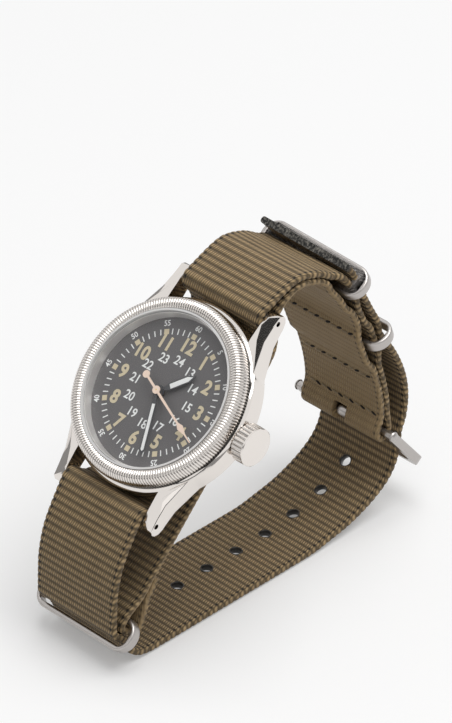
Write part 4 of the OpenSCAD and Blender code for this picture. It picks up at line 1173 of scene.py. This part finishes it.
# %% Floor and light
FLOOR_Z = -0.15
FLOOR_SEEN = 0.71
FLOOR_GLOW = 0.24
FLOOR_BOUNCE = 0.58
WORLD_LIGHT = 0.43
WORLD_SEEN = 0.93
LAMP_AIM = Vector((0, 0, 20))
OVERHEAD_GREY = 0.04
CAMERA_GREY = 0.02
HORIZON_GREY = 0.3


def seen_directly(tree):
    """1 for camera, glossy and transmission rays, 0 for the light that reaches the watch."""
    path = tree.nodes.new("ShaderNodeLightPath")
    total = path.outputs["Is Camera Ray"]
    for kind in ("Is Glossy Ray", "Is Transmission Ray"):
        add = tree.nodes.new("ShaderNodeMath")
        add.operation = "ADD"
        add.use_clamp = True
        tree.links.new(total, add.inputs[0])
        tree.links.new(path.outputs[kind], add.inputs[1])
        total = add.outputs[0]
    return total


def make_floor():
    bm = bmesh.new()
    bmesh.ops.create_grid(bm, x_segments=4, y_segments=4, size=3000)
    bmesh.ops.translate(bm, vec=(0, 0, FLOOR_Z), verts=bm.verts)
    floor = make_object("floor", bm, None, smooth=False)
    f = Finish("floor_white", (FLOOR_SEEN,) * 3, 0.9)
    f.set("Specular IOR Level", 0.0)
    seen = seen_directly(f.tree)
    f.link(f.blend(seen, (FLOOR_BOUNCE,) * 3, (FLOOR_SEEN,) * 3), "Base Color")
    f.set("Emission Color", (1, 1, 1, 1))
    f.link(f.math("MULTIPLY", seen, FLOOR_GLOW), "Emission Strength")
    finish_with(floor, f.material)


def lamp(name, place, size, power):
    """A square lamp, with its place in millimetres, its side in metres and its power in watts."""
    data = bpy.data.lights.new(name, "AREA")
    data.shape = "SQUARE"
    data.size = size
    data.energy = power
    piece = bpy.data.objects.new(name, data)
    toward = (LAMP_AIM - Vector(place)).normalized()
    piece.matrix_world = (Matrix.Translation(Vector(place) * MM)
                          @ toward.to_track_quat("-Z", "Y").to_matrix().to_4x4())
    bpy.context.scene.collection.objects.link(piece)


def make_world(lighting, seen):
    world = bpy.data.worlds.new("studio")
    world.use_nodes = True
    bpy.context.scene.world = world
    tree = world.node_tree
    background = tree.nodes["Background"]
    background.inputs["Color"].default_value = (1, 1, 1, 1)
    strength = tree.nodes.new("ShaderNodeMapRange")
    strength.inputs["To Min"].default_value = lighting
    strength.inputs["To Max"].default_value = seen
    tree.links.new(seen_directly(tree), strength.inputs["Value"])
    tree.links.new(strength.outputs[0], background.inputs["Strength"])


def make_card(name, bm, grey):
    card = make_object(name, bm, None, smooth=False)
    f = Finish(name, (0, 0, 0), 1.0)
    f.set("Specular IOR Level", 0.0)
    f.set("Emission Color", (grey, grey, grey, 1))
    f.set("Emission Strength", 1.0)
    finish_with(card, f.material)
    card.visible_camera = False
    card.visible_diffuse = False
    card.visible_shadow = False
    card.visible_transmission = False


def overhead_card():
    bm = bmesh.new()
    bmesh.ops.create_grid(bm, x_segments=1, y_segments=1, size=450)
    bmesh.ops.translate(bm, vec=(-150, -150, 1400), verts=bm.verts)
    make_card("overhead_card", bm, OVERHEAD_GREY)


def camera_card():
    bm = bmesh.new()
    bmesh.ops.create_circle(bm, cap_ends=True, segments=32, radius=170)
    bmesh.ops.translate(bm, vec=(0, 0, 60), verts=bm.verts)
    camera_in_mm = Matrix.Scale(1 / MM, 4) @ camera.matrix_world @ Matrix.Scale(MM, 4)
    bmesh.ops.transform(bm, matrix=camera_in_mm, verts=bm.verts)
    make_card("camera_card", bm, CAMERA_GREY)


def horizon_card():
    bm = bmesh.new()
    bmesh.ops.create_cone(bm, cap_ends=False, segments=64, radius1=1500, radius2=1500, depth=420)
    bmesh.ops.translate(bm, vec=(0, 0, 170), verts=bm.verts)
    make_card("horizon_card", bm, HORIZON_GREY)


make_floor()
make_world(WORLD_LIGHT, WORLD_SEEN)
lamp("key_light", place=(180, 140, 1050), size=0.9, power=8.4)
lamp("front_light", place=(500, -900, 700), size=0.8, power=0.4)
overhead_card()
camera_card()
horizon_card()
print("floor, world, two lamps and three cards are in place")
